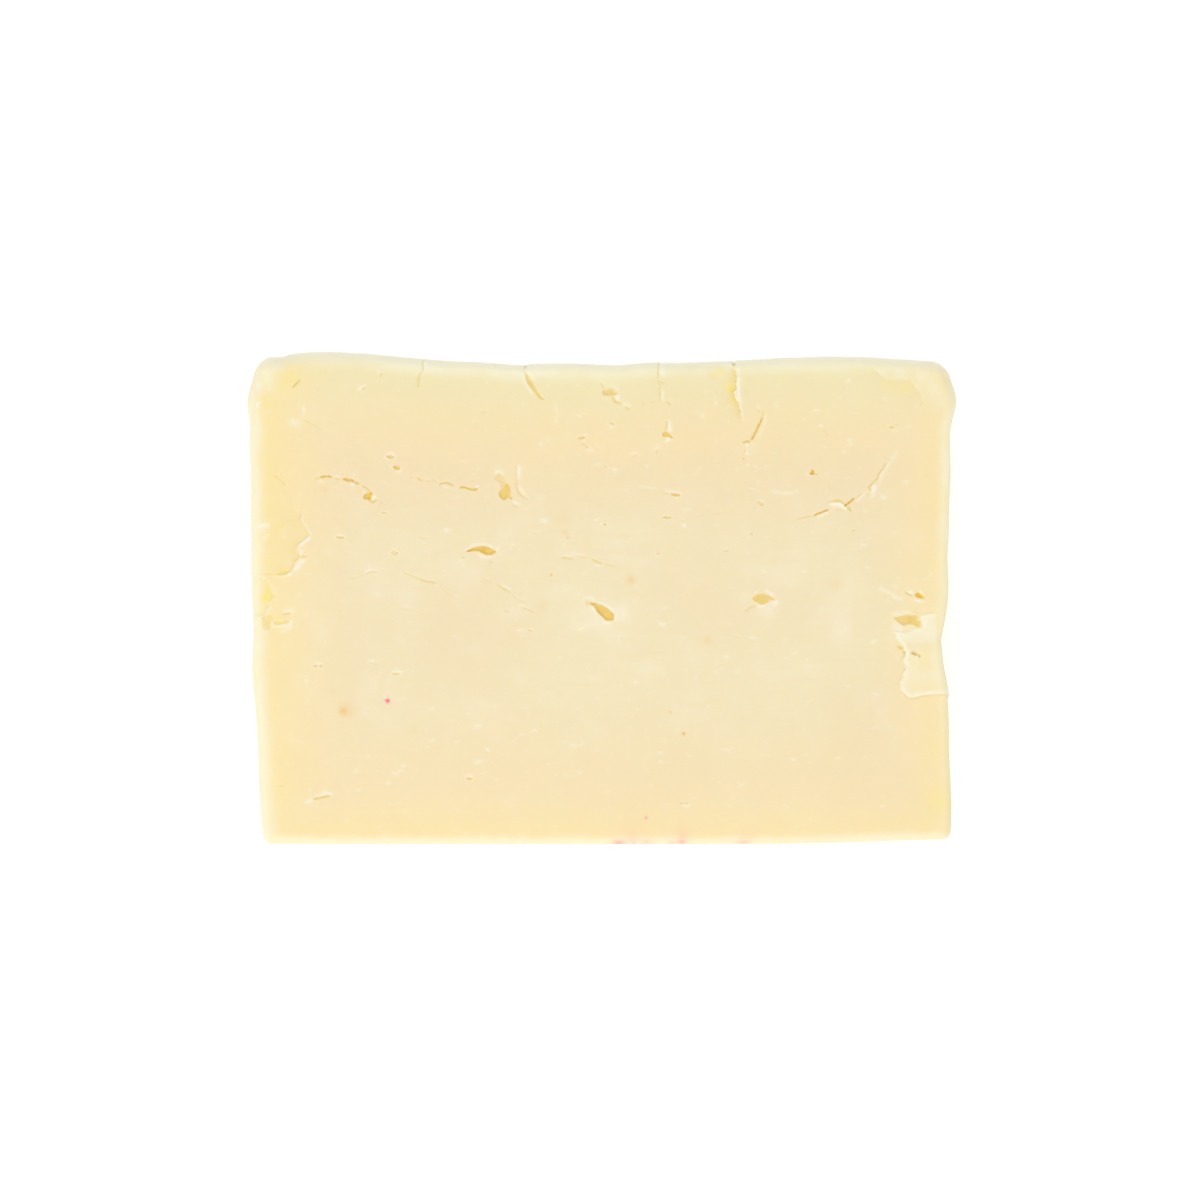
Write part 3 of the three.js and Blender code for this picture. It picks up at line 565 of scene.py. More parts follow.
# Uneven patterns over the marks and the block: base, swing, size of the lumps in mm
# (for a stain, as a share of its radius), and seed
UNEVEN = {
    "eye_shade": [0.9, 0.2, 0.4, 27],
    "hollow_floor": [0.9, 0.2, 0.7, 28],
    "hollow_shade": [0.9, 0.22, 0.8, 27],
    "crack_width": [1, 0.3, 0.7, 7],
    "lip_width": [1, 0.25, 0.6, 8],
    "lip_strength": [0.9, 0.2, 0.5, 29],
    "tear": [0.85, 0.3, 1.1, 12],
    "flake_margin": [1, 0.3, 0.9, 31],
    "flake_level": [0.2, 0.12, 1.4, 14],
    "flake_back": [1, 0.25, 1.2, 14],
    "flake_foot": [0.7, 0.5, 0.9, 15],
    "stain": [1, 0.3, 0.8, 18],
    "smudge_shift": [0, 0.2, 0.7, 19],
    "smudge_wall": [0.75, 0.35, 1.1, 20],
    "tint_slow": [0, 0.8, 9, 21],
    "tint_quick": [0, 0.35, 3, 22],
    "tint_edge": [0, 0.25, 1.4, 30],
    "swell": [0.5, 0.35, 14, 23],
    "small_swell": [0, 0.15, 5, 24],
    "drag": [0.5, 0.5, 0.55, 25],
    "grit": [0.5, 0.5, 0.8, 26],
}
GRAIN_CELLS = 64
RAGGED_SEEDS = [9, 10]

# Broad tints, with lengths in mm. Warm glow bands follow a side: share, how far in, half width,
# and whether they fill the strip up to the side; they are partly the cheese's yellower cut edge and partly
# painted glow of light through the thin edge. Blush bands run the block's length: share, middle and half
# width. Highlight bands are a painted highlight where light catches a rounded edge; they lie along an edge:
# share, where they start to fade, and over how far. The right one grows from front to back.
WARM_GLOW_BANDS = [
    ["left", 1.0, 0, 8.5, True], ["right", 0.66, 0, 6.5, True], ["front", 0.9, 0, 6, True],
    ["front", 0.35, 0, 12, False], ["back", 0.3, 10, 5, False],
]
BLUSH_BANDS = [[0.8, 19, 9], [0.7, -25, 8]]
EDGE_HIGHLIGHT_BANDS = [["left", 0.8, 0.3, 2.7], ["right", 1, 0.2, 2.3], ["front", 0.65, 0.4, 1.4]]
RIGHT_HIGHLIGHT = Form(front=0.25, back=0.7, span=40)
TINT = Form(
    wall_depth=3, wall_warm=0.8, under_warm=0.35, under_wall=0.6,
    green=0.95, green_reach=8, rim=0.85, rim_wander=0.6, rim_start=0.2, rim_over=3.0,
    corner=0.5, corner_reach=4, back=0.7, back_tilt=0.3, back_blend=0.5,
    back_depth=1.5, back_base=0.85, back_wander=0.25,
)
SIDE_SAMPLES = 400

# How far the cut surface lies below its flat, in mm: slow swells, drag lines and grit,
# and how the level and the raised marks fade out towards the sides, the flake and the dents
LEVEL = Form(
    swell=0.14, drag=0.012, grit=0.008, drag_stretch=[0.16, 1.0],
    upright=0.4, upright_blend=0.5, wall_from=5, wall_over=5,
)
FACE_BLEND = 0.6
FLAKE_BLEND = 0.2
DENT_CLEAR = 0.02

# Facets: their edge lengths in mm over plain stretches, round the block's edges and at the relief,
# how they grow away from both, how much too long an edge is before it is split,
# and how many places along a mark ask for short ones
PLAIN_FACET = 1.5
EDGE_FACET = 0.5
EDGE_BAND = 2.2
SHARP_FACET = 0.1
SOFT_FACET = 0.18
SHARP_BAND = 0.2
FACET_GROWTH = 0.55
SPLIT_OVER = 1.45
SPLIT_PASSES = 6
RIM_RINGS = [0.55, 1.0]
RIM_PLACES_PER_MM = 7
RIM_PLACES_LEAST = 6
FLECK_PLACES = 9
SMUDGE_SHARES = [-1, -0.5, 0, 0.5, 1]
PAST_SIDE = 1
SHARP_ANGLE = 50
LAYER_TOP = 1.5

# Steps between the points of a smoothed line, in mm, the least values that are divided by,
# a place far from the block, and how far down the underside faces
LINE_STEP = 0.25
MARK_STEP = 0.2
LEAST_WAY = 1e-6
LEAST_RISE = 1e-9
LEAST_EYE = 1e-4
LEAST_CRACK = 1e-3
FAR_AWAY = 1e4
UNDER_TILT = -0.5

# The photograph's view: how far below the face its outline lies, its size, and the lens
PHOTO_WIDTH = 1200
OUTLINE_DEPTH = 1.0
LENS = 100
SENSOR = 36


def mix(low, high, share):
    return low + (high - low) * share


def soft(value):
    """Eases a value from 0 to 1, flat at both ends."""
    share = np.clip(value, 0, 1)
    return share * share * (3 - 2 * share)


def step(value, middle, width):
    """Rises softly from 0 to 1 over a width, with one half at its middle."""
    return soft((value - middle) / width + 0.5)


def bell(distance, half_width):
    return np.exp(-((distance / half_width) ** 2))


def bowl(inside):
    """The depth of a rounded bowl, from 0 at its rim to 1 at its middle."""
    return np.sqrt(np.clip(1 - (1 - np.clip(inside, 0, 1)) ** 2, 0, 1))


def spread(number, share):
    return (number * share) % 1


def grain(place, size, seed):
    """Smooth random height from -1 to 1 over a flat chart, its lumps about one size apart."""
    table = np.random.default_rng(seed).uniform(-1, 1, (GRAIN_CELLS, GRAIN_CELLS))
    cell = np.asarray(place) / size
    low = np.floor(cell).astype(int)
    share = soft(cell - low)
    near, far = low % GRAIN_CELLS, (low + 1) % GRAIN_CELLS
    front = mix(table[near[:, 0], near[:, 1]], table[far[:, 0], near[:, 1]], share[:, 0])
    back = mix(table[near[:, 0], far[:, 1]], table[far[:, 0], far[:, 1]], share[:, 0])
    return mix(front, back, share[:, 1])


def uneven(place, name, scale=1):
    """One of the uneven patterns at these places, its lumps scaled."""
    base, swing, size, seed = UNEVEN[name]
    return base + swing * grain(place, scale * size, seed)


def ragged_place(place, amount, size=0.5):
    """Places shifted a little either way, so that what is drawn there has an uneven edge."""
    return place + amount * np.stack([grain(place, size, seed) for seed in RAGGED_SEEDS], 1)


def at(pixels):
    """Places on the face, in mm from its middle, that the photograph shows at these pixels."""
    return [
        ((across - MIDDLE_PIXEL[0]) / PIXELS_PER_MM, (MIDDLE_PIXEL[1] - down) / PIXELS_PER_MM)
        for across, down in pixels
    ]


def across_at(pixel):
    return at([[pixel, 0]])[0][0]


def smooth_line(points, closed=False, step_length=LINE_STEP):
    """A line of given points rounded into a smooth one (Catmull-Rom)."""
    points = [np.array(p, float) for p in points]
    count = len(points)
    line = []
    for i in range(count if closed else count - 1):
        a, b = points[i], points[(i + 1) % count]
        before = points[i - 1] if closed or i > 0 else 2 * a - b
        after = points[(i + 2) % count] if closed or i + 2 < count else 2 * b - a
        pieces = max(1, int(math.ceil(np.linalg.norm(b - a) / step_length)))
        for k in range(pieces):
            t = k / pieces
            line.append(
                0.5 * (
                    2 * a + (b - before) * t + (2 * before - 5 * a + 4 * b - after) * t ** 2
                    + (3 * a - before - 3 * b + after) * t ** 3
                )
            )
    if not closed:
        line.append(points[-1])
    return np.array(line)


def line_distance(place, line):
    """For each place: its distance from a line, its side (left +1), and the share of the way along."""
    start, end = line[:-1], line[1:]
    run = end - start
    lengths = np.linalg.norm(run, axis=1)
    way = run / lengths[:, None]
    gap = place[:, None, :] - start[None]
    along = np.clip(np.einsum("nmk,mk->nm", gap, way), 0, lengths)
    foot = gap - along[..., None] * way
    distance = np.linalg.norm(foot, axis=2)
    best = distance.argmin(1)
    rows = np.arange(len(place))
    cross = way[best, 0] * gap[rows, best, 1] - way[best, 1] * gap[rows, best, 0]
    before = np.concatenate([[0], np.cumsum(lengths)])[best]
    share = (before + along[rows, best]) / lengths.sum()
    return distance[rows, best], np.sign(cross), share


def depth_inside(place, ring):
    """Distance in from a closed outline, negative outside it."""
    closed = np.vstack([ring, ring[:1]])
    distance, _, _ = line_distance(place, closed)
    x, y = place[:, :1], place[:, 1:]
    start, end = closed[:-1], closed[1:]
    spans = (start[:, 1] > y) != (end[:, 1] > y)
    rise = end[:, 1] - start[:, 1]
    rise = np.where(np.abs(rise) < LEAST_RISE, LEAST_RISE, rise)
    crossing = start[:, 0] + (y - start[:, 1]) / rise * (end[:, 0] - start[:, 0])
    inside = (spans & (x < crossing)).sum(1) % 2 == 1
    return np.where(inside, distance, -distance)


def from_ends(line, share, reach):
    """Rises from 0 at a line's two ends to 1 at some reach in from them."""
    length = np.linalg.norm(np.diff(line, axis=0), axis=1).sum()
    return np.clip(np.minimum(share, 1 - share) * length / min(reach, length / 2), 0, 1)


def beside(place, x, y, turn):
    """How far places lie along and across from a mark's middle, once it is turned."""
    angle = math.radians(turn)
    gap = place - (x, y)
    along = gap[:, 0] * math.cos(angle) + gap[:, 1] * math.sin(angle)
    across = -gap[:, 0] * math.sin(angle) + gap[:, 1] * math.cos(angle)
    return along, across


# The block's form

def reach_at(side, place):
    """How far a side stands from the middle at a place along it."""
    reach = np.full_like(np.asarray(place, float), side["reach"])
    for centre, size, half_width in side["bulges"]:
        reach = reach + size * bell(place - centre, half_width)
    return reach


def radius_at(x, y):
    """Radius of the rounding in plan: the near side's edge, growing into the near corner's."""
    to_back = step(y, 0, MIDDLE_BAND)
    to_right = step(x, 0, MIDDLE_BAND)
    end_edge = mix(LEFT["edge"], RIGHT["edge"], to_right)
    side_edge = mix(FRONT["edge"], BACK["edge"], to_back)
    end_gap = (HALF[0] - np.abs(x)) / CORNER["spread"]
    side_gap = (HALF[1] - np.abs(y)) / CORNER["spread"]
    edge = mix(end_edge, side_edge, soft((1 + end_gap - side_gap) / 2))
    back_corner = mix(CORNER["back_left"], CORNER["back_right"], to_right)
    front_corner = mix(CORNER["front_left"], CORNER["front_right"], to_right)
    corner = mix(front_corner, back_corner, to_back)
    return mix(edge, corner, np.exp(-(end_gap ** 2) - side_gap ** 2))


def rounded(box_points):
    """Points of the plain box moved on to the rounded one, and the way out of the surface there."""
    x, y, z = box_points[:, 0], box_points[:, 1], box_points[:, 2] - HALF[2]
    plan = radius_at(x, y)
    rise = np.where(z > 0, plan, BASE_EDGE)
    radii = np.stack([plan, plan, rise], 1)
    flat = np.stack([x, y, z], 1)
    core = np.clip(flat, radii - HALF, HALF - radii)
    out = (flat - core) / radii
    out /= np.linalg.norm(out, axis=1, keepdims=True)
    normal = out / radii
    normal /= np.linalg.norm(normal, axis=1, keepdims=True)
    return core + out * radii, normal


def follow_sides(points):
    """Where points of the rounded box lie once the sides stand out or in as cut."""
    x, y, z = points.T
    along_wave = np.sin(2 * math.pi * (x + y) / SIDE_DISH["along"])
    up_wave = np.sin(2 * math.pi * z / SIDE_DISH["up"])
    down = soft((HALF[2] - z - SIDE_DISH["start"]) / HALF[2])
    dished = SIDE_DISH["depth"] * down * (1 + along_wave * up_wave) / 2
    stand_x = np.where(x < 0, reach_at(LEFT, y), reach_at(RIGHT, y)) - HALF[0] - dished
    stand_y = np.where(y < 0, reach_at(FRONT, x), reach_at(BACK, x)) - HALF[1] - dished
    moved = points.copy()
    moved[:, 0] += np.sign(x) * stand_x * np.abs(x / HALF[0]) ** BULGE_POWER
    moved[:, 1] += np.sign(y) * stand_y * np.abs(y / HALF[1]) ** BULGE_POWER
    moved[:, 2] += HALF[2]
    return moved


def blank_form(box_points):
    """The uncut block's surface for points of the plain box, and the way out of it."""
    round_points, normal = rounded(box_points)
    points = follow_sides(round_points)
    low, high = points.min(0), points.max(0)
    points[:, :2] -= (low + high)[:2] / 2
    points[:, :2] *= 2 * HALF[:2] / (high - low)[:2]
    return points, normal


# The marks in mm

def marks_in_mm(marks):
    """Marks given as pixel across, pixel down, length and width in pixels, with what follows kept."""
    return [
        [*at([mark[:2]])[0], mark[2] / PIXELS_PER_MM, mark[3] / PIXELS_PER_MM, *mark[4:]]
        for mark in marks
    ]


def spots_in_mm(spots):
    """Spots given as pixel across, pixel down and radius in pixels, with what follows kept."""
    return [[*at([spot[:2]])[0], spot[2] / PIXELS_PER_MM, *spot[3:]] for spot in spots]


def hidden_eye(x, y, number, turn):
    """One eye out of the photograph's sight, its size and turn set by its number."""
    size = HIDDEN_EYE
    scale = size["smallest"] + size["range"] * spread(number, SIZE_SHARE)
    return [
        x, y, size["length"] * scale, size["width"] * scale,
        turn + math.degrees(number * HIDDEN_TURN), size["depth"] * scale, size["gold"],
    ]


def side_eyes():
    """The eyes of the four sides, on the unrolled chart."""
    walls = [(FRONT, 0, LENGTH, 1), (RIGHT, 90, WIDTH, 1), (BACK, 180, LENGTH, -1), (LEFT, 270, WIDTH, -1)]
    per_side, margin, end_margin = [HIDDEN_EYES[name] for name in ("per_side", "margin", "end_margin")]
    eyes = []
    for wall_number, (side, turn, span, runs) in enumerate(walls):
        for i in range(1, per_side + 1):
            number = wall_number * per_side + i
            along = mix(end_margin, span - end_margin, spread(number, SPREAD_SHARES[0])) - span / 2
            up = mix(margin, THICKNESS - margin, spread(number, SPREAD_SHARES[1]))
            out = float(reach_at(side, runs * along)) + THICKNESS - up
            angle = math.radians(turn)
            x = along * math.cos(angle) + out * math.sin(angle)
            y = along * math.sin(angle) - out * math.cos(angle)
            eyes.append(hidden_eye(x, y, number, turn))
    return eyes


def under_eyes():
    """The eyes of the underside, which leave its middle whole."""
    eyes = []
    for i in range(1, HIDDEN_EYES["under"] + 1):
        x = (spread(i, SPREAD_SHARES[0]) - 0.5) * (LENGTH - 2 * HIDDEN_EYES["end_margin"])
        y = (spread(i, SPREAD_SHARES[1]) - 0.5) * (WIDTH - 2 * HIDDEN_EYES["end_margin"])
        if math.hypot(x, y) > HIDDEN_EYES["whole"]:
            eyes.append(hidden_eye(x, y, i, 0))
    return eyes


def faint_flecks():
    """Faint flecks over the whole face, smaller than the ones listed."""
    random = np.random.default_rng(STREWN["seed"])
    flecks = []
    for _ in range(STREWN["count"]):
        x = random.uniform(*STREWN["across"])
        y = random.uniform(*STREWN["up"])
        length = random.uniform(*STREWN["length"])
        width = length * random.uniform(*STREWN["width"])
        flecks.append([x, y, length, width, random.normal(*STREWN["turn"])])
    return flecks


SIDE_EYES = side_eyes()
UNDER_EYES = under_eyes()
FACE_EYES = marks_in_mm(SMALL_EYES)
FACE_FLECKS = marks_in_mm(FLECKS)
FAINT_FLECKS = faint_flecks()


# Meshes and objects

def mesh_from(bm, name):
    mesh = bpy.data.meshes.new(name)
    bm.to_mesh(mesh)
    bm.free()
    return mesh


def add_object(name, data):
    thing = bpy.data.objects.new(name, data)
    bpy.context.scene.collection.objects.link(thing)
    return thing


# The mesh that carries the relief

def plain_box():
    """The block as a plain box split into even facets."""
    bm = bmesh.new()
    bmesh.ops.create_cube(bm, size=1.0)
    bmesh.ops.scale(bm, vec=2 * Vector(HALF), verts=bm.verts)
    bmesh.ops.translate(bm, vec=(0, 0, HALF[2]), verts=bm.verts)
    for axis in range(3):
        cuts = int(2 * HALF[axis] / PLAIN_FACET)
        along = [e for e in bm.edges if abs((e.verts[1].co - e.verts[0].co)[axis]) > PLAIN_FACET]
        bmesh.ops.subdivide_edges(bm, edges=along, cuts=cuts, use_grid_fill=True)
    bmesh.ops.triangulate(bm, faces=bm.faces)
    return bm


def on_box(x, y):
    """The point of the plain box for a place on the unrolled chart."""
    inside_x = min(max(x, -HALF[0]), HALF[0])
    inside_y = min(max(y, -HALF[1]), HALF[1])
    down = abs(x - inside_x) + abs(y - inside_y)
    return (inside_x, inside_y, THICKNESS - down)


def eye_rim(eye):
    """Places round an eye's rim and over its middle."""
    x, y, length, width, turn = eye[:5]
    angle = math.radians(turn)
    places = [(x, y)]
    for share in RIM_RINGS:
        count = max(RIM_PLACES_LEAST, int(length * share * RIM_PLACES_PER_MM))
        for i in range(count):
            along = share * length / 2 * math.cos(2 * math.pi * i / count)
            across = share * width / 2 * math.sin(2 * math.pi * i / count)
            places.append((
                x + along * math.cos(angle) - across * math.sin(angle),
                y + along * math.sin(angle) + across * math.cos(angle),
            ))
    return places


def fine_places():
    """Every place of the box where the relief needs short edges, with the edge length it needs."""
    def on_chart(lines, facet):
        return [(on_box(*place), facet) for line in lines for place in line]

    def lines_of(marks, closed=False):
        return [smooth_line(at(mark[-1]), closed) for mark in marks]

    tears = [line[np.abs(line[:, 0]) < HALF[0]] for line in lines_of(TEARS)]
    flake = smooth_line(at(FLAKE), closed=True)
    smudges = [
        [(across_at(across) + share * (width / PIXELS_PER_MM / 2), FRONT_LINE) for share in SMUDGE_SHARES]
        for across, width, _ in ROSE_SMUDGES
    ]
    places = on_chart([eye_rim(eye) for eye in FACE_EYES], SHARP_FACET)
    places += on_chart(lines_of(HOLLOWS, closed=True) + lines_of(CRACKS), SHARP_FACET)
    places += on_chart(lines_of(LIP_HIGHLIGHTS_AND_SMEARS) + [eye_rim(eye) for eye in SIDE_EYES], SOFT_FACET)
    places += [((*place, 0.0), SOFT_FACET) for eye in UNDER_EYES for place in eye_rim(eye)]
    places += on_chart([*tears, flake[flake[:, 0] < HALF[0] + PAST_SIDE]], SOFT_FACET)
    places += on_chart([eye_rim(fleck)[:FLECK_PLACES] for fleck in FACE_FLECKS], SOFT_FACET)
    places += on_chart([[spot[:2] for spot in spots_in_mm(TAN_SPOTS + ROSE_SPOTS)]], SOFT_FACET)
    return places + on_chart(smudges, SOFT_FACET)


def wanted_length(place, tree, places):
    """How long an edge of the mesh may be at a place of the box."""
    box_gaps = (HALF[0] - abs(place.x), HALF[1] - abs(place.y), HALF[2] - abs(place.z - HALF[2]))
    at_edge = EDGE_FACET + FACET_GROWTH * max(0.0, sorted(box_gaps)[1] - EDGE_BAND)
    _, index, distance = tree.find(place)
    at_relief = places[index][1] + FACET_GROWTH * max(0.0, distance - SHARP_BAND)
    return min(PLAIN_FACET, at_edge, at_relief)


def refine(bm, places):
    """Splits the box's facets until their edges are as short as the relief near them needs."""
    tree = KDTree(len(places))
    for i, (place, _) in enumerate(places):
        tree.insert(place, i)
    tree.balance()
    for _ in range(SPLIT_PASSES):
        long_edges = []
        for edge in bm.edges:
            middle = (edge.verts[0].co + edge.verts[1].co) / 2
            if edge.calc_length() > SPLIT_OVER * wanted_length(middle, tree, places):
                long_edges.append(edge)
        if not long_edges:
            break
        bmesh.ops.subdivide_edges(bm, edges=long_edges, cuts=1)
        bmesh.ops.triangulate(bm, faces=[f for f in bm.faces if len(f.verts) > 3])


# The relief: what is pressed into the surface, raised on it, and coloured

COLOUR_LAYERS = (
    "gold", "core", "wall", "pale", "warmth_and_glow", "blush", "green", "sunny", "chalk_and_edge_light", "tan", "rose",
)


class Surface:
    """The block's points with their chart, and what the relief does to each."""

    def __init__(self, box_points):
        self.points, self.normal = blank_form(box_points)
        flat_way = self.normal[:, :2]
        length = np.maximum(np.linalg.norm(flat_way, axis=1, keepdims=True), LEAST_WAY)
        down = THICKNESS - self.points[:, 2:3]
        self.chart = self.points[:, :2] + flat_way / length * down
        self.under = self.normal[:, 2] < UNDER_TILT
        self.above = np.where(self.under, 0, 1)
        self.chart[self.under] = FAR_AWAY
        self.layers = {
            name: np.zeros(len(box_points))
            for name in ("dent", "rise", *COLOUR_LAYERS)
        }

    def near(self, low, high, chart=None):
        """The numbers of the points whose chart place lies in a box, and those places."""
        chart = self.chart if chart is None else chart
        index = np.nonzero(np.all((chart > low) & (chart < high), axis=1))[0]
        return index, chart[index]

    def near_line(self, line, room):
        return self.near(line.min(0) - room, line.max(0) + room)

    def near_spot(self, x, y, room, chart=None):
        return self.near((x - room, y - room), (x + room, y + room), chart)

    def press(self, name, index, value):
        """Keeps the larger of what a layer holds and a new value."""
        layer = self.layers[name]
        layer[index] = np.maximum(layer[index], value)


def cut_eye(surface, eye, chart=None):
    """Sinks one small eye: an uneven lens shape, steep at its rim, with painted deep-yellow shade inside,
    and a faint lip with a painted highlight on parts of it.
    """
    x, y, length, width, turn, depth, gold = eye
    index, place = surface.near_spot(x, y, length / 2 + EYE.room, chart)
    ragged = min(EYE.ragged, width * EYE.ragged_share)
    along, across = beside(ragged_place(place, ragged), x, y, turn)
    share = along / (length / 2)
    open_share = np.clip(1 - share ** 2, 0, 1)
    lean = EYE.waist + EYE.lean * np.clip(share, -1, 1)
    half = width / 2 * open_share ** EYE.taper * lean
    inside = np.where(np.abs(share) < 1, 1 - np.abs(across) / np.maximum(half, LEAST_EYE), -1)
    sunk = bowl(inside) * open_share ** EYE.ends
    surface.press("dent", index, EYE.depth * depth * sunk)
    # Painted shade: the eye's inside is coloured deep yellow, as light bounced in the recess looks.
    shade_mask = soft(inside / EYE.gold_fade + EYE.gold_start)
    surface.press("gold", index, EYE.gold * gold * uneven(place, "eye_shade") * shade_mask)
    past_side = np.maximum(np.abs(across) - half, 0)
    past_end = np.maximum(np.abs(share) - 1, 0) * length / 2
    outside = np.hypot(past_side, past_end)
    lip = bell(outside - EYE.lip_width, EYE.lip_width) * np.where(inside > 0, 0, 1)
    lip = lip * min(1.0, depth / EYE.lip_depth)
    # Painted highlight on parts of the lip round the eye.
    round_rim = 0.5 + 0.5 * np.sin(np.arctan2(across, along) * 2 + x)
    surface.press("pale", index, EYE.lip_pale * lip * round_rim)
    if chart is None:
        surface.press("rise", index, EYE.lip_rise * lip * round_rim)


def cut_hollow(surface, hollow):
    """Sinks a hollow of its own outline: a steep wall, a rounded floor, with painted deep-yellow shade
    inside and painted darker shade towards its middle.
    """
    depth, gold, outline = hollow
    ring = smooth_line(at(outline), closed=True)
    index, place = surface.near_line(ring, HOLLOW.room)
    inside = depth_inside(ragged_place(place, HOLLOW.ragged), ring)
    wall = HOLLOW.wall + HOLLOW.shallow_wall * max(0, 1 - gold)
    surface.press("dent", index, depth * bowl(inside / wall) * uneven(place, "hollow_floor"))
    # Painted shade over the hollow's inside.
    shade_mask = soft(inside / HOLLOW.gold_fade + HOLLOW.gold_start)
    surface.press("gold", index, gold * uneven(place, "hollow_shade") * shade_mask)
    # Painted darker shade towards the hollow's middle.
    middle = soft((inside - HOLLOW.core_from) / HOLLOW.core_fade)
    surface.press("core", index, HOLLOW.core * gold * middle)


def along_line(surface, points, form, reach=1):
    """Points near a given line: their numbers and places, how far off the line and on which side
    they are, and how far in from its ends, from 0 to 1."""
    line = smooth_line(at(points), step_length=MARK_STEP)
    index, place = surface.near_line(line, form.room * reach)
    distance, side, share = line_distance(ragged_place(place, *form.ragged), line)
    return index, place, distance, side, from_ends(line, share, form.taper)


def cut_crack(surface, crack):
    """Opens one crack: a narrow groove that closes at both ends, with painted deep-yellow shade in it,
    painted dark shade along its middle and faint painted shade just beside it.
    """
    half_width, depth, gold, points = crack
    index, place, distance, _, inward = along_line(surface, points, CRACK)
    taper = np.sqrt(inward)
    half = CRACK.width * half_width / PIXELS_PER_MM * taper * uneven(place, "crack_width")
    half = np.maximum(half, LEAST_CRACK)
    off = distance / half
    groove = np.clip(CRACK.brim - off, 0, 1)
    surface.press("dent", index, CRACK.depth * depth * taper * groove)
    # Painted shade inside the groove.
    shade_mask = soft((CRACK.brim - off) / CRACK.gold_fade)
    surface.press("gold", index, CRACK.gold * gold * shade_mask * soft(taper * 2))
    # Painted dark shade along the groove's middle.
    dark = soft((CRACK.core_brim - off) / CRACK.core_fade)
    surface.press("core", index, CRACK.core * gold ** 2 * taper * dark)
    # Faint painted shade spreading just beside the groove.
    halo = bell(distance, half + CRACK.halo_width)
    surface.press("gold", index, CRACK.halo * gold * taper * halo)


def draw_lip(surface, lip):
    """Draws a pale lip or smear that stands a hair proud of the face, thin at its ends; on a lip the pale
    is a painted highlight.
    """
    half_width, strength, points = lip
    index, place, distance, _, inward = along_line(surface, points, LIP)
    width = half_width / PIXELS_PER_MM * uneven(place, "lip_width") + LIP.least
    mark = np.sqrt(inward) * bell(distance, width)
    # Pale: on a lip a painted highlight, on a smear its own paler colour.
    surface.press("pale", index, strength * mark * uneven(place, "lip_strength"))
    surface.press("rise", index, LIP.rise * strength * mark)


def tear_edge(surface, tear):
    """Lets the face lie lower along one side of a torn edge, fading away from it, with painted shade at its
    foot and a painted highlight on the raised lip above.
    """
    depth, reach, foot, foot_reach, lip, points = tear
    index, place, distance, side, inward = along_line(surface, points, TEAR, reach)
    ends = soft(inward)
    low = np.where(side > 0, 1, 0) * ends
    surface.press("dent", index, depth * low * soft(distance / TEAR.step) * bell(distance, reach))
    rough = uneven(place, "tear")
    # Painted shade at the foot of the step, on its lower side.
    surface.press("gold", index, foot * low * rough * np.exp(-distance / foot_reach))
    inland = soft((HALF[0] - TEAR.inland_from - np.abs(place[:, 0])) / TEAR.inland_over)
    # Painted highlight on the slightly raised lip along the upper side.
    edge = (ends - low) * bell(distance - TEAR.lip_gap, TEAR.lip_width)
    surface.press("pale", index, lip * edge * rough * inland)
    surface.press("rise", index, TEAR.lip_rise * edge * inland)


def raise_flake(surface):
    """Raises the thin flake, palest along its ragged inner edge and over its back part, with painted shade
    just outside its foot at the front.
    """
    form = FLAKE_FORM
    ring = smooth_line(at(FLAKE), closed=True)
    index, place = surface.near_line(ring, form.room)
    inside = depth_inside(ragged_place(place, form.ragged), ring)
    x, y = place.T
    spent_x, spent_y = at([FLAKE_SPENT])[0]
    left = 1 - step(x, spent_x, form.spent_along) * step(y, spent_y, form.spent_up)
    over = soft(inside / form.edge) * left
    thin = 1 - form.thinning * soft((y - spent_y) / form.thin_over + form.thin_start)
    surface.press("rise", index, FLAKE_HEIGHT * thin * step(inside, 0, form.step) * left)
    margin = over * bell(inside - form.margin_gap, form.margin_width) * uneven(place, "flake_margin")
    level = over * np.maximum(uneven(place, "flake_level"), 0)
    surface.press("pale", index, np.maximum(level, form.margin_pale * margin))
    back_part = over * step(y, spent_y, form.back_over) * uneven(place, "flake_back")
    surface.press("pale", index, form.back_pale * back_part)
    surface.press("green", index, form.green * over)
    # Painted shade along the foot of the flake's front part, just outside it.
    behind = soft((y - at([[0, FLAKE_FOOT_END]])[0][1]) / form.foot_end)
    foot = bell(inside + form.foot_gap, form.foot_width) * np.where(inside < 0, 1, 0) * (1 - behind)
    surface.press("gold", index, form.foot_gold * foot * uneven(place, "flake_foot"))


def scatter_fleck(surface, fleck, strength):
    """A small smear of paler cheese standing a hair proud of the face."""
    x, y, length, width, turn = fleck
    index, place = surface.near_spot(x, y, length + FLECK.room)
    along, across = beside(ragged_place(place, *FLECK.ragged), x, y, turn)
    off = (2 * along / length) ** 2 + (2 * across / width) ** 2
    mark = np.exp(-off ** FLECK.blunt)
    surface.press("pale", index, strength * mark)
    surface.press("rise", index, FLECK.rise * strength * mark)


def stain_spot(surface, name, spot):
    """A soft round spot of one colour layer."""
    x, y, radius, strength = spot
    index, place = surface.near_spot(x, y, radius * STAIN_ROOM)
    fade = bell(np.linalg.norm(place - (x, y), axis=1), radius)
    surface.press(name, index, strength * uneven(place, "stain", radius) * fade)


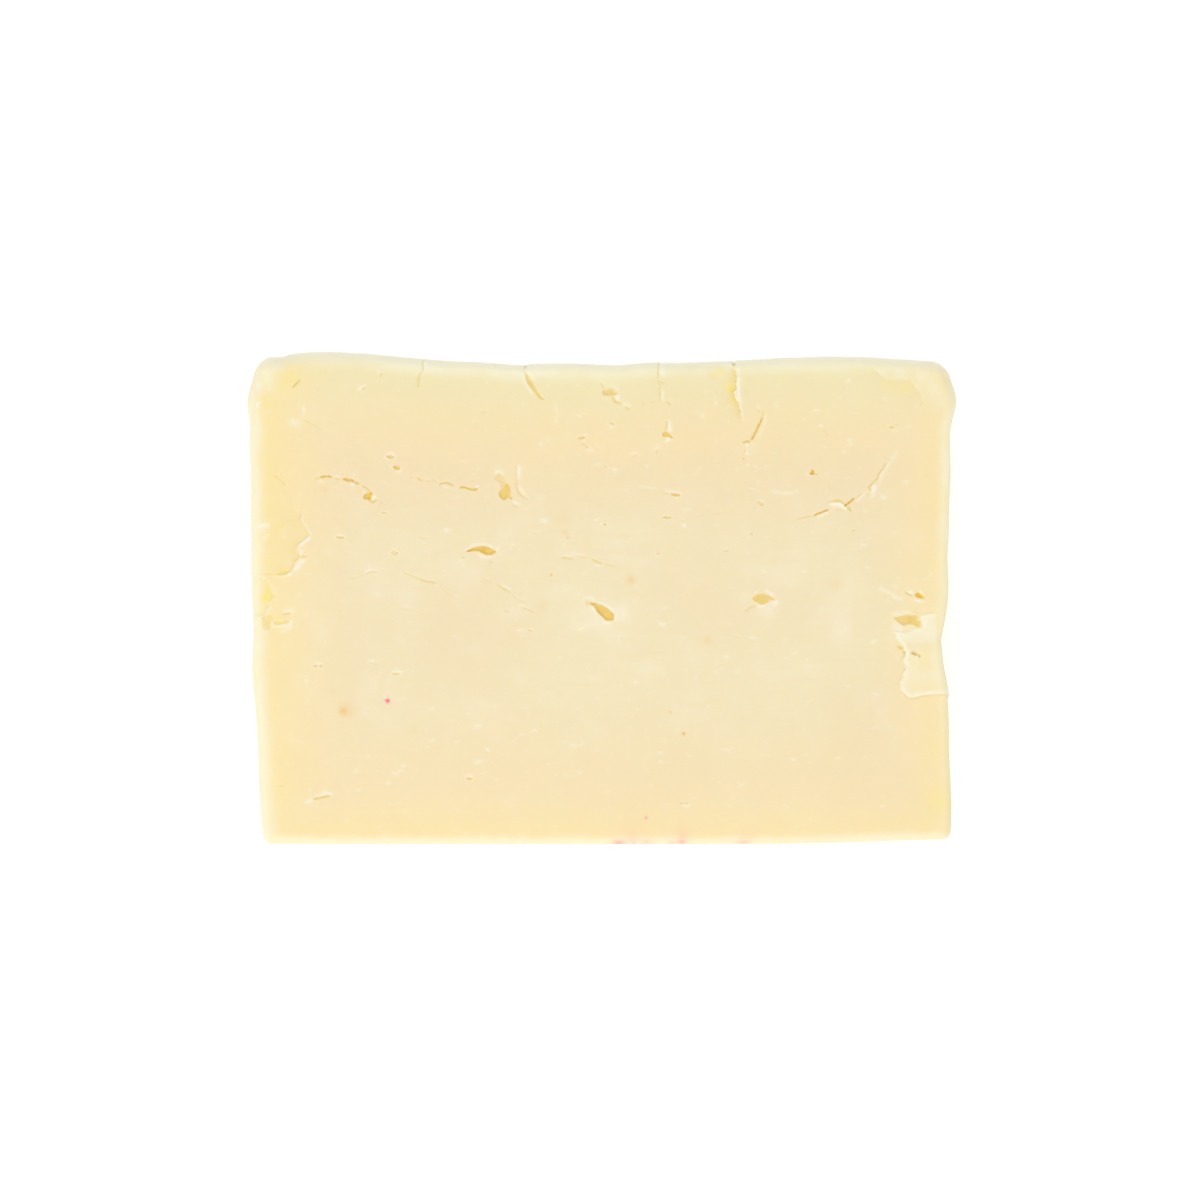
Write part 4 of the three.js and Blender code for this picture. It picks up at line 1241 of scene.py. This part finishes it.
def smudge_front(surface, smudge, fade):
    """A vague pink smudge on the front edge that reaches a little over the face and down the side."""
    across, width, strength = smudge
    x, width = across_at(across), width / PIXELS_PER_MM
    low = (x - 2 * width, FRONT_LINE - SMUDGE.down)
    high = (x + 2 * width, FRONT_LINE + SMUDGE.up)
    index, place = surface.near(low, high)
    beside_it = bell(place[:, 0] - x + uneven(place, "smudge_shift"), width / 2)
    up = place[:, 1] - FRONT_LINE
    face = np.exp(-np.maximum(up, 0) / fade)
    wall = np.exp(-np.maximum(-up - SMUDGE.wall_start, 0) / SMUDGE.wall_fade)
    wall = wall * uneven(place, "smudge_wall")
    surface.press("rose", index, strength * beside_it * np.where(up > 0, face, wall))


def edge_gap(side, place, gap):
    """The gap to a side's own line at a place along it, from the gap to the side of the whole box."""
    furthest = reach_at(side, np.linspace(-HALF[0], HALF[0], SIDE_SAMPLES)).max()
    return np.maximum(gap - (furthest - reach_at(side, place)), 0)


def tint_regions(surface):
    """Broad tints: yellower near the cut sides, partly painted glow of light through them; a painted
    highlight along the rounded edge itself; chalky at the back, partly painted light on the shaded back
    rim.
    """
    x, y, z = surface.points.T
    flat = surface.points[:, :2]
    depth = THICKNESS - z
    wander = uneven(flat, "tint_slow") + uneven(flat, "tint_quick")
    waver = uneven(flat, "tint_edge")
    gaps = {
        "left": edge_gap(LEFT, y, HALF[0] + x),
        "right": edge_gap(RIGHT, y, HALF[0] - x),
        "front": edge_gap(FRONT, x, HALF[1] + y),
        "back": edge_gap(BACK, x, HALF[1] - y),
    }
    # Yellower bands along the sides: partly the cheese's own colour, partly painted glow of light through
    # the thin edges.
    warmth_and_glow = np.zeros(len(x))
    for side, share, inset, half_width, filled in WARM_GLOW_BANDS:
        gap = gaps[side] + wander - inset
        warmth_and_glow = np.maximum(warmth_and_glow, share * bell(np.maximum(gap, 0) if filled else gap, half_width))
    side_wall = soft(depth / TINT.wall_depth)
    layers = surface.layers
    layers["warmth_and_glow"] = np.where(surface.under, TINT.under_warm, mix(warmth_and_glow, TINT.wall_warm, side_wall))
    layers["wall"] = np.where(surface.under, TINT.under_wall, side_wall)
    layers["blush"] = sum(share * bell(y - middle + wander, half) for share, middle, half in BLUSH_BANDS)
    layers["green"] = TINT.green * bell(gaps["back"] + wander, TINT.green_reach) * surface.above

    # Paler back rim, back corners and back wall: partly the cheese's chalky crust, partly painted light
    # that lifts the shade of the rounded back edge, which turns away from the light.
    rim_gap = gaps["back"] + TINT.rim_wander * wander + waver - TINT.rim_start
    rim = TINT.rim * (1 - soft(rim_gap / TINT.rim_over))
    by_end = bell(gaps["left"], TINT.corner_reach) + bell(gaps["right"], TINT.corner_reach)
    corners = TINT.corner * bell(gaps["back"], TINT.corner_reach) * by_end
    # Painted highlight along the left, right and front edges, where light catches their rounding; along the
    # right it grows from front to back.
    right_share = mix(RIGHT_HIGHLIGHT.front, RIGHT_HIGHLIGHT.back, step(y, 0, RIGHT_HIGHLIGHT.span))
    edge_highlight = np.zeros(len(x))
    for side, share, start, over in EDGE_HIGHLIGHT_BANDS:
        here = share * (1 - soft((gaps[side] + waver - start) / over))
        edge_highlight = np.maximum(edge_highlight, here * right_share if side == "right" else here)
    on_back = soft((surface.normal[:, 1] - TINT.back_tilt) / TINT.back_blend)
    on_back = TINT.back * (on_back * soft(depth / TINT.back_depth))
    on_back = on_back * (TINT.back_base + TINT.back_wander * wander)
    chalk_and_edge_light = np.maximum.reduce([rim, corners, edge_highlight * (1 - side_wall), on_back])
    layers["chalk_and_edge_light"] = np.clip(chalk_and_edge_light, 0, 1) * surface.above


def unevenness(surface):
    """How far the cut surface lies below its flat: slow swells and faint drag lines of the wire."""
    place = surface.chart
    swell = uneven(place, "swell") + uneven(place, "small_swell")
    drag = uneven(place * LEVEL.drag_stretch, "drag")
    level = LEVEL.swell * swell + LEVEL.drag * drag + LEVEL.grit * uneven(place, "grit")
    upright = 1 - soft((surface.normal[:, 2] - LEVEL.upright) / LEVEL.upright_blend)
    down_the_wall = (THICKNESS - surface.points[:, 2] - LEVEL.wall_from) / LEVEL.wall_over
    return level * mix(1, soft(down_the_wall), upright) * surface.above


def carved(box_points):
    """The finished surface for points of the plain box, and the layers that colour it."""
    surface = Surface(box_points)
    tint_regions(surface)
    for tear in TEARS:
        tear_edge(surface, tear)
    raise_flake(surface)
    for layer, hazes in (("pale", HAZES), ("chalk_and_edge_light", CHALKY_PATCHES), ("sunny", SUNNY_PATCHES)):
        for haze in spots_in_mm(hazes):
            stain_spot(surface, layer, haze)
    for lip in LIP_HIGHLIGHTS_AND_SMEARS:
        draw_lip(surface, lip)
    for flecks, strength in ((FACE_FLECKS, FLECK.set_strength), (FAINT_FLECKS, FLECK.faint_strength)):
        for fleck in flecks:
            scatter_fleck(surface, fleck, strength)
    for eye in FACE_EYES + SIDE_EYES:
        cut_eye(surface, eye)
    below = np.where(surface.under[:, None], surface.points[:, :2], FAR_AWAY)
    for eye in UNDER_EYES:
        cut_eye(surface, eye, below)
    for hollow in HOLLOWS:
        cut_hollow(surface, hollow)
    for crack in CRACKS:
        cut_crack(surface, crack)
    for layer, stains in (("tan", TAN_SPOTS), ("rose", ROSE_SPOTS)):
        for stain in spots_in_mm(stains):
            stain_spot(surface, layer, stain)
    for smudges, fade in ((ROSE_SMUDGES, SMUDGE.face_fade), (ROSE_HAZES, SMUDGE.haze_fade)):
        for smudge in smudges:
            smudge_front(surface, smudge, fade)
    layers = surface.layers
    on_flake = soft(layers["rise"] / FLAKE_BLEND)
    on_face = soft(surface.normal[:, 2] / FACE_BLEND)
    clear = np.where(layers["dent"] > DENT_CLEAR, 0, 1)
    proud = layers["rise"] * mix(on_face, 1, on_flake) * clear
    push = proud - layers["dent"] - unevenness(surface) * (1 - on_flake)
    return surface.points + surface.normal * push[:, None], layers


def shape_block():
    """The whole block as one mesh, carved, coloured by layers, and in metres."""
    bm = plain_box()
    refine(bm, fine_places())
    mesh = mesh_from(bm, "provolone")
    flat = np.empty(len(mesh.vertices) * 3)
    mesh.vertices.foreach_get("co", flat)
    points, layers = carved(flat.reshape(-1, 3))
    mesh.vertices.foreach_set("co", (points * MM).ravel())
    for name in COLOUR_LAYERS:
        attribute = mesh.attributes.new(name, "FLOAT", "POINT")
        attribute.data.foreach_set("value", np.clip(layers[name], 0, LAYER_TOP))
    mesh.update()
    mesh.shade_smooth()
    mesh.set_sharp_from_angle(angle=math.radians(SHARP_ANGLE))
    return add_object("provolone", mesh)


# Finishes

class Finish:
    """A material's nodes, added one at a time."""

    def __init__(self, name):
        self.material = bpy.data.materials.new(name)
        self.material.use_nodes = True
        self.nodes = self.material.node_tree.nodes
        self.links = self.material.node_tree.links
        self.shader = self.nodes["Principled BSDF"]

    def feed(self, socket, value):
        """Gives a socket a value, or the output of another node."""
        if isinstance(value, bpy.types.NodeSocket):
            self.links.new(value, socket)
        else:
            socket.default_value = value

    def set(self, node, **inputs):
        for name, value in inputs.items():
            self.feed(node.inputs[name.replace("_", " ")], value)

    def layer(self, name):
        node = self.nodes.new("ShaderNodeAttribute")
        node.attribute_name = name
        return node.outputs["Fac"]

    def math(self, operation, first, second):
        node = self.nodes.new("ShaderNodeMath")
        node.operation = operation
        self.feed(node.inputs[0], first)
        self.feed(node.inputs[1], second)
        return node.outputs[0]

    def between(self, value, low, high, to_low, to_high):
        """A value taken from one range to another, and held at its ends."""
        node = self.nodes.new("ShaderNodeMapRange")
        self.set(node, Value=value, From_Min=low, From_Max=high, To_Min=to_low, To_Max=to_high)
        return node.outputs["Result"]

    def blend(self, base, top, share):
        node = self.nodes.new("ShaderNodeMix")
        node.data_type = "RGBA"
        self.set(node, Factor=share, A=base, B=top)
        return node.outputs["Result"]

    def noise(self, stretch, scale, detail, roughness):
        place = self.nodes.new("ShaderNodeTexCoord").outputs["Object"]
        mapping = self.nodes.new("ShaderNodeMapping")
        self.set(mapping, Vector=place, Scale=stretch)
        node = self.nodes.new("ShaderNodeTexNoise")
        self.set(node, Vector=mapping.outputs["Vector"], Scale=scale, Detail=detail, Roughness=roughness)
        return node.outputs["Fac"]


def colour(red, green, blue):
    """A colour given as a screen shows it (0 to 255), as the light it stands for (sRGB curve)."""
    shown = [value / 255 for value in (red, green, blue)]
    light = [s / 12.92 if s <= 0.04045 else ((s + 0.055) / 1.055) ** 2.4 for s in shown]
    return (*light, 1.0)


CREAM = colour(241, 228, 190)
CREAM_DEEP = colour(241, 224, 185)
CREAM_BLUSH = colour(242, 223, 183)
CREAM_GREENISH = colour(240, 229, 183)
# Yellower cut edges and walls: partly the cheese's own colour, partly painted glow of light through the
# thin edges.
WARM_GLOW_YELLOW = colour(252, 228, 172)
SUNNY_YELLOW = colour(251, 231, 136)
# Chalky rim: the cheese's chalky crust, also used as painted light on the shaded back rim and as painted
# highlight along the rounded edges.
CHALKY_RIM_AND_EDGE_LIGHT = colour(249, 244, 220)
# Pale: the cheese's own pale smears and flecks, and also the painted highlight on lips.
PALE_SMEAR_AND_HIGHLIGHT = colour(251, 246, 230)
# Painted shade colours: two deep yellows for light bounced inside eyes, hollows, cracks and at the foot of
# steps, and a browner one for the middle of cracks and hollows.
GOLDEN_SHADE = colour(243, 219, 140)
AMBER_SHADE = colour(241, 203, 64)
CRACK_SHADE = colour(205, 158, 72)
TAN = colour(238, 196, 112)
BROWN = colour(205, 170, 125)
ROSE = colour(252, 120, 150)

# Fine patterns in the cheese: stretch, scale, detail and roughness
PATTERNS = {
    "mottle": [(1, 1, 1), 160, 3, 0.55],
    "streaks": [(90, 700, 700), 1, 3, 0.6],
    "patches": [(1, 1, 1), 45, 2, 0.5],
    "knife_streaks": [(110, 110, 480), 1, 4, 0.6],
    "specks": [(700, 1000, 900), 1, 2, 0.5],
    "sheen": [(1, 1, 1), 300, 3, 0.6],
    "curd": [(1, 1, 1), 1500, 4, 0.6],
    "drag": [(120, 1400, 1400), 1, 2, 0.5],
}

# The colours laid over the cream in turn: the pattern or layer that spreads each, the colour,
# the range over which it comes in with its share at the end, and the layer that it keeps to
WASHES = [
    ["patches", CREAM_DEEP, (0.35, 0.65, 1), None],
    ["mottle", PALE_SMEAR_AND_HIGHLIGHT, (0.5, 0.75, 0.23), None],
    ["streaks", CREAM_DEEP, (0.5, 0.7, 0.4), None],
    ["blush", CREAM_BLUSH, None, None],
    ["green", CREAM_GREENISH, None, None],
    # Yellower edges and walls, partly painted glow of light through the edges.
    ["warmth_and_glow", WARM_GLOW_YELLOW, None, None],
    # Chalky crust, with painted light on the shaded back rim and a painted highlight along the rounded
    # edges.
    ["chalk_and_edge_light", CHALKY_RIM_AND_EDGE_LIGHT, None, None],
    ["knife_streaks", PALE_SMEAR_AND_HIGHLIGHT, (0.45, 0.75, 0.26), "wall"],
    ["specks", PALE_SMEAR_AND_HIGHLIGHT, (0.62, 0.76, 0.22), None],
    ["sunny", SUNNY_YELLOW, None, None],
    ["tan", TAN, None, None],
    ["tan", BROWN, (1.0, 1.5, 1), None],
    ["rose", ROSE, None, None],
    # Pale flecks, smears and flake, with the painted highlight on lips round eyes, cracks, hollows and torn
    # edges.
    ["pale", PALE_SMEAR_AND_HIGHLIGHT, None, None],
    # Painted shade in eyes, hollows and cracks and at the foot of steps.
    ["gold", GOLDEN_SHADE, (0.0, 0.75, 1), None],
    ["gold", AMBER_SHADE, (0.75, 1.25, 1), None],
    # Painted dark shade along cracks and in the middle of hollows.
    ["core", CRACK_SHADE, None, None],
]
DRAG_IN_BUMP = 0.7


def cheese_finish():
    """Waxy, slightly translucent cheese: cream, yellower at the cut edges with painted glow and highlight
    there, and painted deep-yellow shade in its hollows and cracks.
    """
    finish = Finish("cheese")
    patterns = {name: finish.noise(*settings) for name, settings in PATTERNS.items()}
    base = CREAM
    for source, top, comes_in, kept_to in WASHES:
        share = patterns[source] if source in patterns else finish.layer(source)
        if comes_in:
            start, end, most = comes_in
            share = finish.between(share, start, end, 0, most)
        if kept_to:
            share = finish.math("MULTIPLY", share, finish.layer(kept_to))
        base = finish.blend(base, top, share)
    height = finish.math("ADD", patterns["curd"], finish.math("MULTIPLY", patterns["drag"], DRAG_IN_BUMP))
    bump = finish.nodes.new("ShaderNodeBump")
    finish.set(bump, Height=height, Strength=0.25, Distance=0.00006)
    finish.set(
        finish.shader,
        Base_Color=base,
        Roughness=finish.between(patterns["sheen"], 0.3, 0.7, 0.42, 0.62),
        Subsurface_Weight=0.5,
        Subsurface_Radius=(1.0, 0.85, 0.5),
        Subsurface_Scale=0.001,
        Specular_IOR_Level=0.35,
        Normal=bump.outputs["Normal"],
    )
    return finish.material


def table_finish():
    """A plain white table top, lit until it is all but pure white."""
    finish = Finish("white_table")
    cloud = finish.noise((1, 1, 1), 3, 2, 0.5)
    finish.set(
        finish.shader,
        Base_Color=(0.92, 0.92, 0.92, 1),
        Roughness=finish.between(cloud, 0.3, 0.7, 0.75, 0.85),
        Specular_IOR_Level=0.0,
        Emission_Color=(1, 1, 1, 1),
        Emission_Strength=0.35,
    )
    return finish.material


# The studio, in metres: each soft light's place, size and power

TABLE_HALF_WIDTH = 4.0
TABLE_FACETS = 8
SOFTBOXES = {
    "front_left_softbox": [(-0.4, -0.5, 1.0), 0.7, 4.06],
    "overhead_softbox": [(0.1, 0.1, 1.1), 0.9, 3.24],
}
LIGHTS_AIM = Vector((0, 0, 0.015))
ROOM_LIGHT = 0.56


def lay_table():
    bm = bmesh.new()
    bmesh.ops.create_grid(bm, x_segments=TABLE_FACETS, y_segments=TABLE_FACETS, size=TABLE_HALF_WIDTH)
    mesh = mesh_from(bm, "table")
    mesh.materials.append(table_finish())
    table = add_object("table", mesh)


def light_studio():
    world = bpy.data.worlds.new("studio")
    world.use_nodes = True
    background = world.node_tree.nodes["Background"]
    background.inputs["Color"].default_value = (1, 1, 1, 1)
    background.inputs["Strength"].default_value = ROOM_LIGHT
    bpy.context.scene.world = world
    for name, (place, size, power) in SOFTBOXES.items():
        light = bpy.data.lights.new(name, "AREA")
        light.shape = "DISK"
        light.size = size
        light.energy = power
        lamp = add_object(name, light)
        lamp.location = place
        lamp.rotation_euler = (LIGHTS_AIM - Vector(place)).to_track_quat("-Z", "Y").to_euler()
    bpy.context.scene.view_settings.view_transform = "Standard"


def place_camera():
    """Looks straight down, from where the outline fills as much of the frame as in the photograph."""
    camera = bpy.data.cameras.new("camera")
    camera.lens = LENS
    camera.sensor_width = SENSOR
    width_there = PHOTO_WIDTH / OUTLINE_PIXELS_PER_MM
    height = THICKNESS - OUTLINE_DEPTH + width_there * LENS / SENSOR
    x, y = at([[PHOTO_WIDTH / 2, PHOTO_WIDTH / 2]])[0]
    camera_object = add_object("camera", camera)
    camera_object.location = (x * MM, y * MM, height * MM)
    bpy.context.scene.camera = camera_object


place_camera()
light_studio()
lay_table()
block = shape_block()
block.data.materials.append(cheese_finish())
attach(block, "root")
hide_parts("provolone_block")
